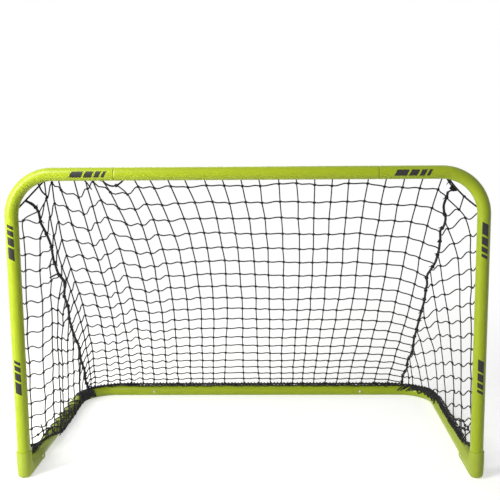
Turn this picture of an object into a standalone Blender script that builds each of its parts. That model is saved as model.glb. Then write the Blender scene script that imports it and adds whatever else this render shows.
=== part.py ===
"""Mini soccer goal: push-fit steel tube frame, moulded foot elbows, snap buttons and a knotted net.

Metres, +Z up. The origin is on the floor, in the middle of the footprint. X runs along the crossbar and
Y from the goal mouth to the rear bar.
"""
import math

import bmesh
import bpy
from mathutils import Matrix, Quaternion, Vector

# Overall size of the frame
FRAME_WIDTH = 1.200  # over the outer sides of the posts
FRAME_HEIGHT = 0.800  # from the floor to the top of the crossbar
FRAME_DEPTH = 0.653  # from the front of the posts to the back of the rear bar

# Steel tube
TUBE_DIAMETER = 0.033
TUBE_WALL = 0.0012
TOP_BEND_RADIUS = 0.106  # centre line
REAR_BEND_RADIUS = 0.106  # centre line
MIDDLE_TUBE_LENGTH = 0.650  # between the two joints of the crossbar, and of the rear bar
SWAGE_LENGTH = 0.058  # drawn-in end of a middle tube
SHOULDER_LENGTH = 0.004  # cone from full size to the drawn-in end
PUSH_FIT = 0.0003  # radial clearance of every push fit

# Moulded foot elbow
ELBOW_WALL = 0.0024
ELBOW_BEND_RADIUS = 0.024  # centre line
ELBOW_HEIGHT = 0.070  # floor to the rim of the post socket
ELBOW_REACH = 0.108  # post axis to the rim of the base tube socket
SOLE_CUT = 0.0006  # how deep the heel is cut flat
POST_SOCKET_DEPTH = 0.026
BASE_SOCKET_DEPTH = 0.053

# Snap button and its V spring
BUTTON_RADIUS = 0.0037
BUTTON_FLANGE_RADIUS = 0.0048
BUTTON_FLANGE_THICKNESS = 0.0010
BUTTON_DOME = 0.0026  # how far the button stands out of the outer piece
BUTTON_ROUNDING = 0.6  # height of its rounded top, as a share of its radius
BUTTON_TRAVEL = 0.006
BUTTON_SET_BACK = 0.022  # from the end of the outer tube to the button
POST_BUTTON_SET_BACK = 0.012  # from the rim of the elbow's short socket
BASE_BUTTON_SET_BACK = 0.022  # from the rim of its long socket
HOLE_CLEARANCE = 0.0003
HOLE_TURN = math.radians(8)  # keeps the corners of a drilled hole off the edges of the tube
SPRING_WIDTH = 0.0070
SPRING_STRIP = 0.0006
SPRING_LENGTH = 0.030
SPRING_BEND_RADIUS = 0.0030
SPRING_GAP = 0.0003

# Net hook, a stud with a flange, a neck and a head
HOOK_STEM_RADIUS = 0.0022
HOOK_FLANGE_RADIUS = 0.0050
HOOK_FLANGE_THICKNESS = 0.0014
HOOK_NECK_RADIUS = 0.0020
HOOK_NECK_LENGTH = 0.0056
HOOK_HEAD_RADIUS = 0.0040
HOOK_HEAD_THICKNESS = 0.0016
HOOK_STEM_INSIDE = 0.0030  # how far the stem reaches inside the tube
HOOK_COLUMNS = (-7.5, -4.5, -1.5, 1.5, 4.5, 7.5)  # places in net columns from the middle
REAR_HOOK_COLUMNS = (-7.5, -4.5, -1.5, 1.5, 4.5, 6.5)
HOOK_ROWS = (1.5, 4.5, 8.5)  # places in net rows from the top of a post's rope

# Net and its cords
ROPE_RADIUS = 0.0020  # border rope
SEAM_RADIUS = 0.0018  # lacing cord at the two seams
NET_CORD = 0.0022  # thickness of the net's own cord
CORD_GAP = 0.0005  # between a net's edge and the rope that carries it
SEAT_GAP = 0.0003  # between a hook's flange or neck and what it meets
ROPE_SEAT = 0.0007  # between a rope and the tube that it lies on
NET_ROWS = 10
BAR_COLUMNS = 16  # columns of the back net that hang along the crossbar
LEFT_CUT_COLUMNS = 2  # and those on the left corner cut; the right seam starts at the crossbar
BACK_SAG = 0.055  # how far the back net hangs off its straight line
SAG_DIRECTION = Vector((0, -0.77, -0.64))  # inwards and down, square to that line
CUT_STRAND = 0.88  # how far up the right corner cut the side net's strand starts
LEFT_SEAM_PULL = 0.045  # how far the net draws the left seam inwards
RIGHT_SEAM_PULL = 0.012
LEFT_SEAM_FOOT = 0.0165  # where the seam ends on the rear bend, inwards from the post axis
RIGHT_SEAM_FOOT = 0.0915
ROPE_BOW_POST = 0.020  # how far the net bows the rope inwards between two post hooks
ROPE_BOW_BAR = 0.008
CORNER_CUT_X = 0.100  # the rope cuts the rounded top corner: distance from the post axis
CORNER_CUT_Z = 0.100  # and distance below the crossbar axis
NET_INSIDE_ROPE = 0.0035  # how far inside the base tube's rope a side net starts
ROPE_FOOT = 0.008  # the rope ends this far above the rim of the foot elbow
ROPE_START = 0.045  # the ground frame's rope starts this far behind the post axis
ROPE_STEP = 0.032  # length of its straight steps
LEFT_ROPE_ANGLE = math.radians(-40)  # on the left base tube the rope lies low on the inner side
RIGHT_ROPE_ANGLE = math.radians(78)  # on the right base tube it lies on top

# Colours of the materials, linear
LIME_COAT = (0.50, 0.68, 0.03)
LIME_PLASTIC = (0.52, 0.70, 0.05)
ZINC = (0.55, 0.55, 0.53)
BLACK_PLASTIC = (0.02, 0.02, 0.02)
BLACK_TWINE = (0.015, 0.015, 0.015)

# Smoothness of the round pieces
TUBE_SIDES = 20
BEND_STEPS = 9
CORD_RESOLUTION = 1
SMALL_SIDES = 12
HOOK_SIDES = 8
SEAM_STEPS = 24
SHARP_ANGLE = math.radians(40)

# Worked out from the sizes above
TUBE_RADIUS = TUBE_DIAMETER / 2
TUBE_BORE = TUBE_RADIUS - TUBE_WALL
SWAGE_RADIUS = TUBE_BORE - PUSH_FIT
SWAGE_BORE = SWAGE_RADIUS - TUBE_WALL
ELBOW_BORE = TUBE_RADIUS + PUSH_FIT
ELBOW_RADIUS = ELBOW_BORE + ELBOW_WALL
POST_X = FRAME_WIDTH / 2 - TUBE_RADIUS
AXIS_DEPTH = FRAME_DEPTH - TUBE_DIAMETER
POST_Y = -(AXIS_DEPTH + TUBE_RADIUS - ELBOW_RADIUS) / 2
REAR_Y = POST_Y + AXIS_DEPTH
BAR_Z = FRAME_HEIGHT - TUBE_RADIUS
HEEL_Z = ELBOW_RADIUS - SOLE_CUT  # axis of the elbow's level leg at the post
REAR_Z = TUBE_RADIUS  # the rear bar lies on the floor
JOINT_X = MIDDLE_TUBE_LENGTH / 2
HOOK_NECK_MIDDLE = TUBE_RADIUS + SEAT_GAP + HOOK_FLANGE_THICKNESS + HOOK_NECK_LENGTH / 2
ROPE_ON_NECK = HOOK_NECK_RADIUS + ROPE_RADIUS + SEAT_GAP
ROPE_ON_TUBE = TUBE_RADIUS + ROPE_RADIUS + ROPE_SEAT
ROPE_ON_ELBOW = ELBOW_RADIUS + ROPE_RADIUS + ROPE_SEAT
NET_OFF_ROPE = ROPE_RADIUS + NET_CORD / 2 + CORD_GAP
NET_OFF_SEAM = (SEAM_RADIUS + NET_CORD / 2 + CORD_GAP) * 1.04  # more, as the seam runs slantwise
NET_BY_HEAD_ROPE = Vector((0, 0.76, 0.76)) * NET_OFF_ROPE  # clear of the hooks' heads
NET_BY_BASE_ROPE = Vector((0, 0.58, 0.92)) * NET_OFF_ROPE

# Where the ground rope changes its place round the tube, as distances behind the post axis
LEAVES_ELBOW = (ELBOW_REACH + 0.001, ELBOW_REACH + 0.030)
LEAVES_TOP = (ELBOW_REACH + 0.010, ELBOW_REACH + 0.220)
RETURNS_TO_TOP = (AXIS_DEPTH - 0.240, AXIS_DEPTH - 0.030)
REACHES_HOOKS = (REAR_BEND_RADIUS - 0.036, REAR_BEND_RADIUS + 0.030)  # inwards from the base tube's axis

GROUND_DIRECTION = Vector((0, AXIS_DEPTH, REAR_Z - HEEL_Z)).normalized()

# Net pitch along the top, and the hooks half way between two strands
BAR_HALF = POST_X - CORNER_CUT_X
CORNER_CUT = math.hypot(CORNER_CUT_X + ROPE_ON_NECK, CORNER_CUT_Z + ROPE_ON_NECK)
TOP_PITCH = BAR_HALF * 2 / BAR_COLUMNS
RIGHT_COLUMN = BAR_COLUMNS // 2
LEFT_COLUMN = -RIGHT_COLUMN - LEFT_CUT_COLUMNS
CROSSBAR_HOOKS = [column * TOP_PITCH for column in HOOK_COLUMNS]
ROPE_TOP = BAR_Z - CORNER_CUT_Z
ROPE_LOW = ELBOW_HEIGHT + ROPE_FOOT
ROW_PITCH = (ROPE_TOP - ROPE_LOW) / NET_ROWS
POST_HOOKS = [ROPE_TOP - row * ROW_PITCH for row in HOOK_ROWS]


def clear_scene():
    for thing in list(bpy.data.objects):
        bpy.data.objects.remove(thing)


def new_collection(name):
    collection = bpy.data.collections.new(name)
    bpy.context.scene.collection.children.link(collection)
    return collection


def new_material(name, color, roughness, metallic=0.0):
    material = bpy.data.materials.new(name)
    material.use_nodes = True
    shader = material.node_tree.nodes["Principled BSDF"]
    shader.inputs["Base Color"].default_value = (*color, 1.0)
    shader.inputs["Roughness"].default_value = roughness
    shader.inputs["Metallic"].default_value = metallic
    return material


def new_object(name, mesh, collection, material=None):
    thing = bpy.data.objects.new(name, mesh)
    collection.objects.link(thing)
    if material:
        mesh.materials.clear()
        mesh.materials.append(material)
    return thing


def shade_round(mesh):
    mesh.shade_smooth()
    mesh.set_sharp_from_angle(angle=SHARP_ANGLE)


def filleted(corners, radius, steps):
    """Points along straight runs that are joined by arcs of one radius."""
    points = [Vector(corners[0])]
    for before, corner, after in zip(corners, corners[1:], corners[2:]):
        corner = Vector(corner)
        arrive = (corner - Vector(before)).normalized()
        leave = (Vector(after) - corner).normalized()
        turn = arrive.angle(leave)
        set_back = radius * math.tan(turn / 2)
        start = corner - arrive * set_back
        axis = arrive.cross(leave).normalized()
        centre = start + axis.cross(arrive) * radius
        spoke = start - centre
        points += [centre + Matrix.Rotation(turn * k / steps, 3, axis) @ spoke for k in range(steps + 1)]
    points.append(Vector(corners[-1]))
    return points


def curve_mesh(points, radius, resolution, capped):
    """Mesh of a round tube along the points, from a bevelled poly curve."""
    curve = bpy.data.curves.new("route", "CURVE")
    curve.dimensions = "3D"
    curve.bevel_depth = radius
    curve.bevel_resolution = resolution
    curve.use_fill_caps = capped
    spline = curve.splines.new("POLY")
    spline.points.add(len(points) - 1)
    for target, point in zip(spline.points, points):
        target.co = (*point, 1)
    holder = bpy.data.objects.new("route", curve)
    bpy.context.scene.collection.objects.link(holder)
    evaluated = holder.evaluated_get(bpy.context.evaluated_depsgraph_get())
    mesh = bpy.data.meshes.new_from_object(evaluated)
    bpy.data.objects.remove(holder)
    work = bmesh.new()
    work.from_mesh(mesh)
    bmesh.ops.remove_doubles(work, verts=work.verts, dist=0.00001)
    bmesh.ops.recalc_face_normals(work, faces=work.faces)
    work.to_mesh(mesh)
    work.free()
    shade_round(mesh)
    return mesh


def hollow_tube(name, points, radius, wall, collection, material):
    """Pipe along the points: an open tube with its wall turned inwards."""
    mesh = curve_mesh(points, radius, (TUBE_SIDES - 4) // 2, capped=False)
    mesh.name = name
    thing = new_object(name, mesh, collection, material)
    shell = thing.modifiers.new("wall", "SOLIDIFY")
    shell.thickness = wall
    shell.offset = -1
    return thing


def cord(name, points, radius, collection, material):
    mesh = curve_mesh(points, radius, CORD_RESOLUTION, capped=True)
    mesh.name = name
    return new_object(name, mesh, collection, material)


def turned(name, profile, sides, collection, material=None, closed=False):
    """Solid of revolution about Z. The profile runs down its outer side, as (radius, height) pairs."""
    mesh = bpy.data.meshes.new(name)
    count = len(profile)
    edges = [(k, k + 1) for k in range(count - 1)]
    if closed:
        edges.append((count - 1, 0))
    mesh.from_pydata([(radius, 0, height) for radius, height in profile], edges, [])
    thing = new_object(name, mesh, collection, material)
    screw = thing.modifiers.new("turn", "SCREW")
    screw.axis = "Z"
    screw.steps = sides
    screw.render_steps = sides
    screw.use_merge_vertices = True
    screw.merge_threshold = 0.00001
    screw.use_smooth_shade = True
    return thing


def aim(thing, place, direction):
    """Put the object at a place with its Z axis along a direction."""
    thing.location = place
    thing.rotation_mode = "QUATERNION"
    thing.rotation_quaternion = Vector(direction).to_track_quat("Z", "Y")


def drill(target, name, place, direction, radius, start, end, collection):
    """Cut a round hole in the target, from start to end along the direction."""
    profile = [(0, end), (radius, end), (radius, start), (0, start)]
    cutter = turned(name, profile, SMALL_SIDES, collection)
    aim(cutter, place, direction)
    cutter.rotation_quaternion = cutter.rotation_quaternion @ Quaternion((0, 0, 1), HOLE_TURN)
    cutter.hide_render = True
    cutter.display_type = "WIRE"
    cut = target.modifiers.new(name, "BOOLEAN")
    cut.operation = "DIFFERENCE"
    cut.object = cutter


def corner_tube(side, name, parts, material):
    """Post, top bend and the short level leg to the crossbar joint."""
    foot = ELBOW_HEIGHT - POST_SOCKET_DEPTH
    corners = [
        (side * POST_X, POST_Y, foot),
        (side * POST_X, POST_Y, BAR_Z),
        (side * JOINT_X, POST_Y, BAR_Z),
    ]
    return hollow_tube(
        name, filleted(corners, TOP_BEND_RADIUS, BEND_STEPS), TUBE_RADIUS, TUBE_WALL, parts, material
    )


def ground_point(side, reach):
    """Point on a base tube's straight axis, at a distance behind the post axis."""
    return Vector((side * POST_X, POST_Y, HEEL_Z)) + GROUND_DIRECTION * reach


def rear_corner(side):
    return Vector((side * POST_X, REAR_Y, REAR_Z))


def base_tube(side, name, parts, material):
    """Ground tube, rear bend and the short leg to the rear bar joint."""
    corners = [
        ground_point(side, ELBOW_REACH - BASE_SOCKET_DEPTH),
        rear_corner(side),
        (side * JOINT_X, REAR_Y, REAR_Z),
    ]
    return hollow_tube(
        name, filleted(corners, REAR_BEND_RADIUS, BEND_STEPS), TUBE_RADIUS, TUBE_WALL, parts, material
    )


def middle_tube(name, place, parts, material):
    """Straight tube whose two ends are drawn in to push into the corner tubes."""
    half = [
        (SWAGE_RADIUS, JOINT_X + SWAGE_LENGTH),
        (SWAGE_RADIUS, JOINT_X),
        (TUBE_RADIUS, JOINT_X - SHOULDER_LENGTH),
    ]
    outer = half + [(radius, -height) for radius, height in reversed(half)]
    inner = [(radius - TUBE_WALL, height) for radius, height in reversed(outer)]
    thing = turned(name, outer + inner, TUBE_SIDES, parts, material, closed=True)
    aim(thing, place, (1, 0, 0))
    return thing


def foot_elbow(side, name, parts, cutters, material):
    """Moulded elbow: hollow sockets for the post and the base tube, the heel cut flat."""
    corners = [
        (side * POST_X, POST_Y, ELBOW_HEIGHT),
        (side * POST_X, POST_Y, HEEL_Z),
        ground_point(side, ELBOW_REACH),
    ]
    points = filleted(corners, ELBOW_BEND_RADIUS, BEND_STEPS)
    thing = hollow_tube(name, points, ELBOW_RADIUS, ELBOW_WALL, parts, material)
    mesh = bpy.data.meshes.new(name + "_sole_cutter")
    work = bmesh.new()
    bmesh.ops.create_cube(work, size=1)
    work.to_mesh(mesh)
    work.free()
    floor = new_object(name + "_sole_cutter", mesh, cutters)
    floor.scale = (FRAME_HEIGHT / 4, FRAME_DEPTH, TUBE_DIAMETER)
    floor.location = (side * POST_X, POST_Y, -TUBE_DIAMETER / 2)
    floor.hide_render = True
    floor.display_type = "WIRE"
    cut = thing.modifiers.new("sole", "BOOLEAN")
    cut.operation = "DIFFERENCE"
    cut.object = floor
    return thing


def snap_button(name, axis_point, outward, along, bore, inner, outer, outer_radius, parts, cutters, steel):
    """Button that stands out through the inner and outer piece, with the V spring behind it.

    axis_point is on the tube's axis, outward points from it through the button, and along is the way
    that the spring's two arms run. bore is the inner radius of the innermost tube.
    """
    flange_top = math.sqrt(bore**2 - BUTTON_FLANGE_RADIUS**2) - SPRING_GAP
    flange_bottom = flange_top - BUTTON_FLANGE_THICKNESS
    top = outer_radius + BUTTON_DOME
    dome = [
        (BUTTON_RADIUS * math.sin(angle), top - BUTTON_RADIUS * BUTTON_ROUNDING * (1 - math.cos(angle)))
        for angle in (0, math.radians(30), math.radians(60), math.radians(90))
    ]
    profile = dome + [
        (BUTTON_RADIUS, flange_top),
        (BUTTON_FLANGE_RADIUS, flange_top),
        (BUTTON_FLANGE_RADIUS, flange_bottom),
        (0, flange_bottom),
    ]
    button = turned(name + "_button", profile, SMALL_SIDES, parts, steel)
    aim(button, axis_point, outward)
    hole = BUTTON_RADIUS + HOLE_CLEARANCE
    for piece in (inner, outer):
        drill(piece, f"{piece.name}_{name}_hole", axis_point, outward, hole, bore / 2, top, cutters)
    v_spring(name + "_spring", axis_point, outward, along, bore, flange_bottom, parts, steel)


def v_spring(name, axis_point, outward, along, bore, flange_bottom, parts, steel):
    """Bent strip: one arm under the button, a round bend, and the other arm on the far wall."""
    upper = flange_bottom - SPRING_GAP - SPRING_STRIP / 2
    lower = -(math.sqrt(bore**2 - (SPRING_WIDTH / 2) ** 2) - SPRING_GAP - SPRING_STRIP / 2)
    start = -BUTTON_FLANGE_RADIUS
    bend_x = SPRING_LENGTH - SPRING_BEND_RADIUS
    middle = (upper + lower) / 2
    arc = [
        (bend_x + SPRING_BEND_RADIUS * math.cos(angle), middle + SPRING_BEND_RADIUS * math.sin(angle))
        for angle in (math.radians(90 - 30 * k) for k in range(7))
    ]
    flat = [(start, upper), (BUTTON_FLANGE_RADIUS, upper)] + arc
    flat += [(BUTTON_FLANGE_RADIUS, lower), (start, lower)]
    curve = bpy.data.curves.new(name, "CURVE")
    curve.dimensions = "3D"
    curve.extrude = SPRING_WIDTH / 2
    spline = curve.splines.new("POLY")
    spline.points.add(len(flat) - 1)
    for target, (x, z) in zip(spline.points, flat):
        target.co = (x, z, 0, 1)
    holder = bpy.data.objects.new(name, curve)
    bpy.context.scene.collection.objects.link(holder)
    evaluated = holder.evaluated_get(bpy.context.evaluated_depsgraph_get())
    mesh = bpy.data.meshes.new_from_object(evaluated)
    bpy.data.objects.remove(holder)
    thing = new_object(name, mesh, parts, steel)
    strip = thing.modifiers.new("strip", "SOLIDIFY")
    strip.thickness = SPRING_STRIP
    strip.offset = 0
    right = Vector(along)
    up = Vector(outward)
    frame = Matrix((right, up, right.cross(up))).transposed().to_4x4()
    thing.matrix_world = Matrix.Translation(axis_point) @ frame


def net_hook(name, tubes, place, outward, parts, cutters, plastic):
    """Stud pressed into a hole of the tube, or of the two tubes of a joint: stem, flange, neck and head."""
    flange = TUBE_RADIUS + SEAT_GAP
    neck = flange + HOOK_FLANGE_THICKNESS
    head = neck + HOOK_NECK_LENGTH
    profile = [
        (0, head + HOOK_HEAD_THICKNESS),
        (HOOK_HEAD_RADIUS, head + HOOK_HEAD_THICKNESS * 0.5),
        (HOOK_HEAD_RADIUS, head),
        (HOOK_NECK_RADIUS, head),
        (HOOK_NECK_RADIUS, neck),
        (HOOK_FLANGE_RADIUS, neck),
        (HOOK_FLANGE_RADIUS, flange),
        (HOOK_STEM_RADIUS, flange),
        (HOOK_STEM_RADIUS, TUBE_BORE - HOOK_STEM_INSIDE),
        (0, TUBE_BORE - HOOK_STEM_INSIDE),
    ]
    hook = turned(name, profile, HOOK_SIDES, parts, plastic)
    aim(hook, place, outward)
    hole = HOOK_STEM_RADIUS + HOLE_CLEARANCE
    for tube in tubes:
        drill(tube, f"{tube.name}_{name}", place, outward, hole, TUBE_BORE / 2, TUBE_RADIUS * 1.5, cutters)


def tubes_at(x, middle, corners):
    """The tubes that a hook goes through at x: both where it meets the joint."""
    found = []
    if abs(x) < JOINT_X + SWAGE_LENGTH + HOOK_STEM_RADIUS * 2:
        found.append(middle)
    if abs(x) > JOINT_X - HOOK_STEM_RADIUS * 2:
        found.append(corners[1 if x > 0 else -1])
    return found


def bow(place, hooks, depth):
    """Bow of a rope between two hooks. It is nought up to the strand on each side of a hook."""
    for low, high in zip(hooks, hooks[1:]):
        first = low + 0.5
        last = high - 0.5
        if first < place < last:
            return depth * math.sin(math.pi * (place - first) / (last - first))
    return 0.0


def bar_rope(column):
    """Border rope behind the crossbar, on the hooks' necks. The column counts from the middle."""
    z = BAR_Z + ROPE_ON_NECK - bow(column, HOOK_COLUMNS, ROPE_BOW_BAR)
    return Vector((column * TOP_PITCH, POST_Y + HOOK_NECK_MIDDLE, z))


def post_rope(side, row):
    """Border rope behind a post, on the outer side of the hooks' necks. The row counts from the top."""
    x = POST_X + ROPE_ON_NECK - bow(row, HOOK_ROWS, ROPE_BOW_POST)
    return Vector((side * x, POST_Y + HOOK_NECK_MIDDLE, ROPE_TOP - row * ROW_PITCH))


def corner_rope(side, share):
    """Straight cut of the rope across the rounded top corner, from the post up to the crossbar."""
    low = post_rope(side, 0)
    high = bar_rope(side * BAR_COLUMNS / 2)
    return low.lerp(high, share)


def ground_route():
    """Centre line of the ground frame from the left foot round to the right foot, with its inward side."""
    corners = [
        ground_point(-1, ROPE_START),
        rear_corner(-1),
        rear_corner(1),
        ground_point(1, ROPE_START),
    ]
    coarse = filleted(corners, REAR_BEND_RADIUS, 8)
    route = []
    for first, last in zip(coarse, coarse[1:]):
        steps = max(1, round((last - first).length / ROPE_STEP))
        route += [first.lerp(last, k / steps) for k in range(steps)]
    route.append(coarse[-1])
    return route


def smooth_step(value, low, high):
    share = min(1.0, max(0.0, (value - low) / (high - low)))
    return share * share * (3 - 2 * share)


def ground_rope_offset(point):
    """Distance and angle of the border rope round the ground frame, at a point of its centre line."""
    reach = point.y - POST_Y
    if point.x < 0:
        side_angle = LEFT_ROPE_ANGLE
    else:
        side_angle = RIGHT_ROPE_ANGLE
    past_elbow = smooth_step(reach, *LEAVES_TOP)
    near_rear = smooth_step(reach, *RETURNS_TO_TOP)
    on_bar = smooth_step(POST_X - abs(point.x), *REACHES_HOOKS)
    top = math.radians(90)
    behind_neck = top + math.atan2(ROPE_ON_NECK, HOOK_NECK_MIDDLE)
    angle = top + (side_angle - top) * past_elbow * (1 - near_rear)
    angle += (behind_neck - top) * on_bar
    off_elbow = smooth_step(reach, *LEAVES_ELBOW)
    distance = ROPE_ON_ELBOW + (ROPE_ON_TUBE - ROPE_ON_ELBOW) * off_elbow
    distance += (math.hypot(HOOK_NECK_MIDDLE, ROPE_ON_NECK) - ROPE_ON_TUBE) * on_bar
    return distance, angle


def ground_rope():
    """Points of the border rope along the ground frame."""
    route = ground_route()
    points = []
    for k, point in enumerate(route):
        before = route[max(0, k - 1)]
        after = route[min(len(route) - 1, k + 1)]
        forward = (after - before).normalized()
        up = Vector((0, 0, 1))
        inward = forward.cross(up).normalized()
        distance, angle = ground_rope_offset(point)
        points.append(point + inward * distance * math.cos(angle) + up * distance * math.sin(angle))
    return points


def along_points(points, share):
    """Point at a share of the length of a row of points."""
    lengths = [(b - a).length for a, b in zip(points, points[1:])]
    left = share * sum(lengths)
    for start, end, length in zip(points, points[1:], lengths):
        if left <= length:
            return start.lerp(end, left / length)
        left -= length
    return points[-1]


def top_rope():
    """Points of the border rope from the left foot over the crossbar to the right foot."""
    left = [post_rope(-1, row) for row in range(NET_ROWS, -1, -1)]
    bar = [bar_rope(column) for column in range(-BAR_COLUMNS // 2, BAR_COLUMNS // 2 + 1)]
    right = [post_rope(1, row) for row in range(NET_ROWS + 1)]
    return left + bar + right


def rear_split(points):
    """Indexes of the rope points at the two rear bends where the seams end."""
    found = []
    for seam_x in (-POST_X + LEFT_SEAM_FOOT, POST_X - RIGHT_SEAM_FOOT):
        rear = [k for k, point in enumerate(points) if point.y > REAR_Y - REAR_BEND_RADIUS]
        found.append(min(rear, key=lambda k: abs(points[k].x - seam_x)))
    return found


def rear_rope(column, ground):
    """Point of the rear bar's rope at a column of the back net, evenly spaced between the two seams."""
    left, right = rear_split(ground)
    return along_points(ground[left : right + 1], (column - LEFT_COLUMN) / (RIGHT_COLUMN - LEFT_COLUMN))


def back_net_point(column, share, ground):
    """Point of the back net: columns count from the middle, share runs from the crossbar to the rear bar."""
    beyond = RIGHT_COLUMN + column
    if beyond >= 0:
        top = bar_rope(column)
    else:
        top = corner_rope(-1, 1 + beyond * TOP_PITCH / CORNER_CUT)
    straight = (top + NET_BY_HEAD_ROPE).lerp(rear_rope(column, ground) + NET_BY_BASE_ROPE, share)
    if column < 0:
        pull = column / LEFT_COLUMN * LEFT_SEAM_PULL
    else:
        pull = -column / RIGHT_COLUMN * RIGHT_SEAM_PULL
    hang = 4 * share * (1 - share)
    return straight + SAG_DIRECTION * BACK_SAG * hang + Vector((pull * hang, 0, 0))


def seam_point(side, share, ground):
    """Lacing cord between the back net and a side net."""
    if side < 0:
        column = LEFT_COLUMN
    else:
        column = RIGHT_COLUMN
    return back_net_point(column, share, ground) + Vector((side * NET_OFF_SEAM, 0, 0))


def grid_mesh(rows, columns):
    """Flat square grid, with its vertices in rows, to be placed by a formula."""
    work = bmesh.new()
    bmesh.ops.create_grid(work, x_segments=columns, y_segments=rows, size=0.5)
    work.verts.ensure_lookup_table()
    return work


def net_from(name, work, parts, material):
    mesh = bpy.data.meshes.new(name)
    work.to_mesh(mesh)
    work.free()
    thing = new_object(name, mesh, parts, material)
    strands = thing.modifiers.new("strands", "WIREFRAME")
    strands.thickness = NET_CORD
    strands.use_replace = True
    strands.use_boundary = True
    strands.use_even_offset = False
    return thing


def back_net(ground, parts, material):
    columns = RIGHT_COLUMN - LEFT_COLUMN
    work = grid_mesh(NET_ROWS, columns)
    for vertex in work.verts:
        column = LEFT_COLUMN + round((vertex.co.x + 0.5) * columns)
        share = 0.5 - vertex.co.y
        vertex.co = back_net_point(column, share, ground)
    return net_from("net_back", work, parts, material)


def side_net_edge(side, column, ground):
    """Point of a side net's long edge, which follows the seam. The right one first crosses the corner cut."""
    on_cut = 0 if side < 0 else 1
    if column == on_cut:
        return corner_rope(side, CUT_STRAND) + NET_BY_HEAD_ROPE
    share = (column - on_cut) / (NET_ROWS - on_cut)
    return seam_point(side, share, ground) + Vector((side * NET_OFF_SEAM, 0, 0))


def side_net_point(side, row, column, ground):
    """Point of a side net: column 0 runs down the post, the others from the long edge to the base tube."""
    if column == 0:
        beside = Vector((side * NET_BY_HEAD_ROPE.z, NET_BY_HEAD_ROPE.y, 0))
        return post_rope(side, row) + beside
    top = side_net_edge(side, column, ground)
    if column == NET_ROWS:
        return top
    left, right = rear_split(ground)
    if side < 0:
        edge = ground[: left + 1]
    else:
        edge = list(reversed(ground[right:]))
    foot = along_points(edge, column / NET_ROWS)
    bottom = foot + Vector((-side * NET_INSIDE_ROPE, 0, NET_OFF_ROPE))
    return top.lerp(bottom, (row - column) / (NET_ROWS - column))


def side_net(side, name, ground, parts, material):
    work = grid_mesh(NET_ROWS, NET_ROWS)
    place = {}
    for vertex in work.verts:
        column = round((vertex.co.x + 0.5) * NET_ROWS)
        row = round((0.5 - vertex.co.y) * NET_ROWS)
        place[(row, column)] = vertex
    beyond = [vertex for (row, column), vertex in place.items() if column > row + 1]
    kept = {key: vertex for key, vertex in place.items() if key[1] <= key[0]}
    for (row, column), vertex in kept.items():
        vertex.co = side_net_point(side, row, column, ground)
    welds = {place[(row, row + 1)]: place[(row, row)] for row in range(NET_ROWS)}
    bmesh.ops.delete(work, geom=beyond, context="VERTS")
    bmesh.ops.weld_verts(work, targetmap=welds)
    return net_from(name, work, parts, material)


def build():
    clear_scene()
    parts = new_collection("mini_soccer_goal")
    cutters = new_collection("cutters")
    lime = new_material("powder_coated_steel", LIME_COAT, 0.35)
    moulded = new_material("moulded_plastic", LIME_PLASTIC, 0.42)
    steel = new_material("zinc_plated_steel", ZINC, 0.3, 1.0)
    black = new_material("black_plastic", BLACK_PLASTIC, 0.5)
    twine = new_material("black_twine", BLACK_TWINE, 0.8)
    sides = ((-1, "left"), (1, "right"))

    posts = {}
    bases = {}
    elbows = {}
    for side, word in sides:
        posts[side] = corner_tube(side, f"{word}_post", parts, lime)
        bases[side] = base_tube(side, f"{word}_base_tube", parts, lime)
        elbows[side] = foot_elbow(side, f"{word}_foot_elbow", parts, cutters, moulded)
    crossbar = middle_tube("crossbar", (0, POST_Y, BAR_Z), parts, lime)
    rear_bar = middle_tube("rear_bar", (0, REAR_Y, REAR_Z), parts, lime)

    for side, word in sides:
        inwards = Vector((-side, 0, 0))
        at_joint = side * (JOINT_X + BUTTON_SET_BACK)
        snap_button(
            f"crossbar_{word}", (at_joint, POST_Y, BAR_Z), (0, 1, 0), inwards, SWAGE_BORE,
            crossbar, posts[side], TUBE_RADIUS, parts, cutters, steel,
        )
        snap_button(
            f"rear_bar_{word}", (at_joint, REAR_Y, REAR_Z), (0, -1, 0), inwards, SWAGE_BORE,
            rear_bar, bases[side], TUBE_RADIUS, parts, cutters, steel,
        )
        in_post = (side * POST_X, POST_Y, ELBOW_HEIGHT - POST_BUTTON_SET_BACK)
        snap_button(
            f"post_{word}", in_post, (0, 1, 0), (0, 0, 1), TUBE_BORE,
            posts[side], elbows[side], ELBOW_RADIUS, parts, cutters, steel,
        )
        in_base = ground_point(side, ELBOW_REACH - BASE_BUTTON_SET_BACK)
        snap_button(
            f"base_{word}", in_base, inwards, GROUND_DIRECTION, TUBE_BORE,
            bases[side], elbows[side], ELBOW_RADIUS, parts, cutters, steel,
        )

    for number, x in enumerate(CROSSBAR_HOOKS, 1):
        tubes = tubes_at(x, crossbar, posts)
        net_hook(f"crossbar_hook_{number}", tubes, (x, POST_Y, BAR_Z), (0, 1, 0), parts, cutters, black)
    for side, word in sides:
        for number, z in enumerate(POST_HOOKS, 1):
            place = (side * POST_X, POST_Y, z)
            net_hook(f"{word}_post_hook_{number}", [posts[side]], place, (0, 1, 0), parts, cutters, black)
    ground = ground_rope()
    for number, column in enumerate(REAR_HOOK_COLUMNS, 1):
        x = rear_rope(column, ground).x
        tubes = tubes_at(x, rear_bar, bases)
        net_hook(f"rear_bar_hook_{number}", tubes, (x, REAR_Y, REAR_Z), (0, 0, 1), parts, cutters, black)

    cord("head_rope", top_rope(), ROPE_RADIUS, parts, twine)
    cord("base_rope", ground, ROPE_RADIUS, parts, twine)
    for side, word in sides:
        seam = [seam_point(side, k / SEAM_STEPS, ground) for k in range(SEAM_STEPS + 1)]
        cord(f"{word}_seam_cord", seam, SEAM_RADIUS, parts, twine)
        side_net(side, f"net_{word}", ground, parts, twine)
    back_net(ground, parts, twine)


build()
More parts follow.
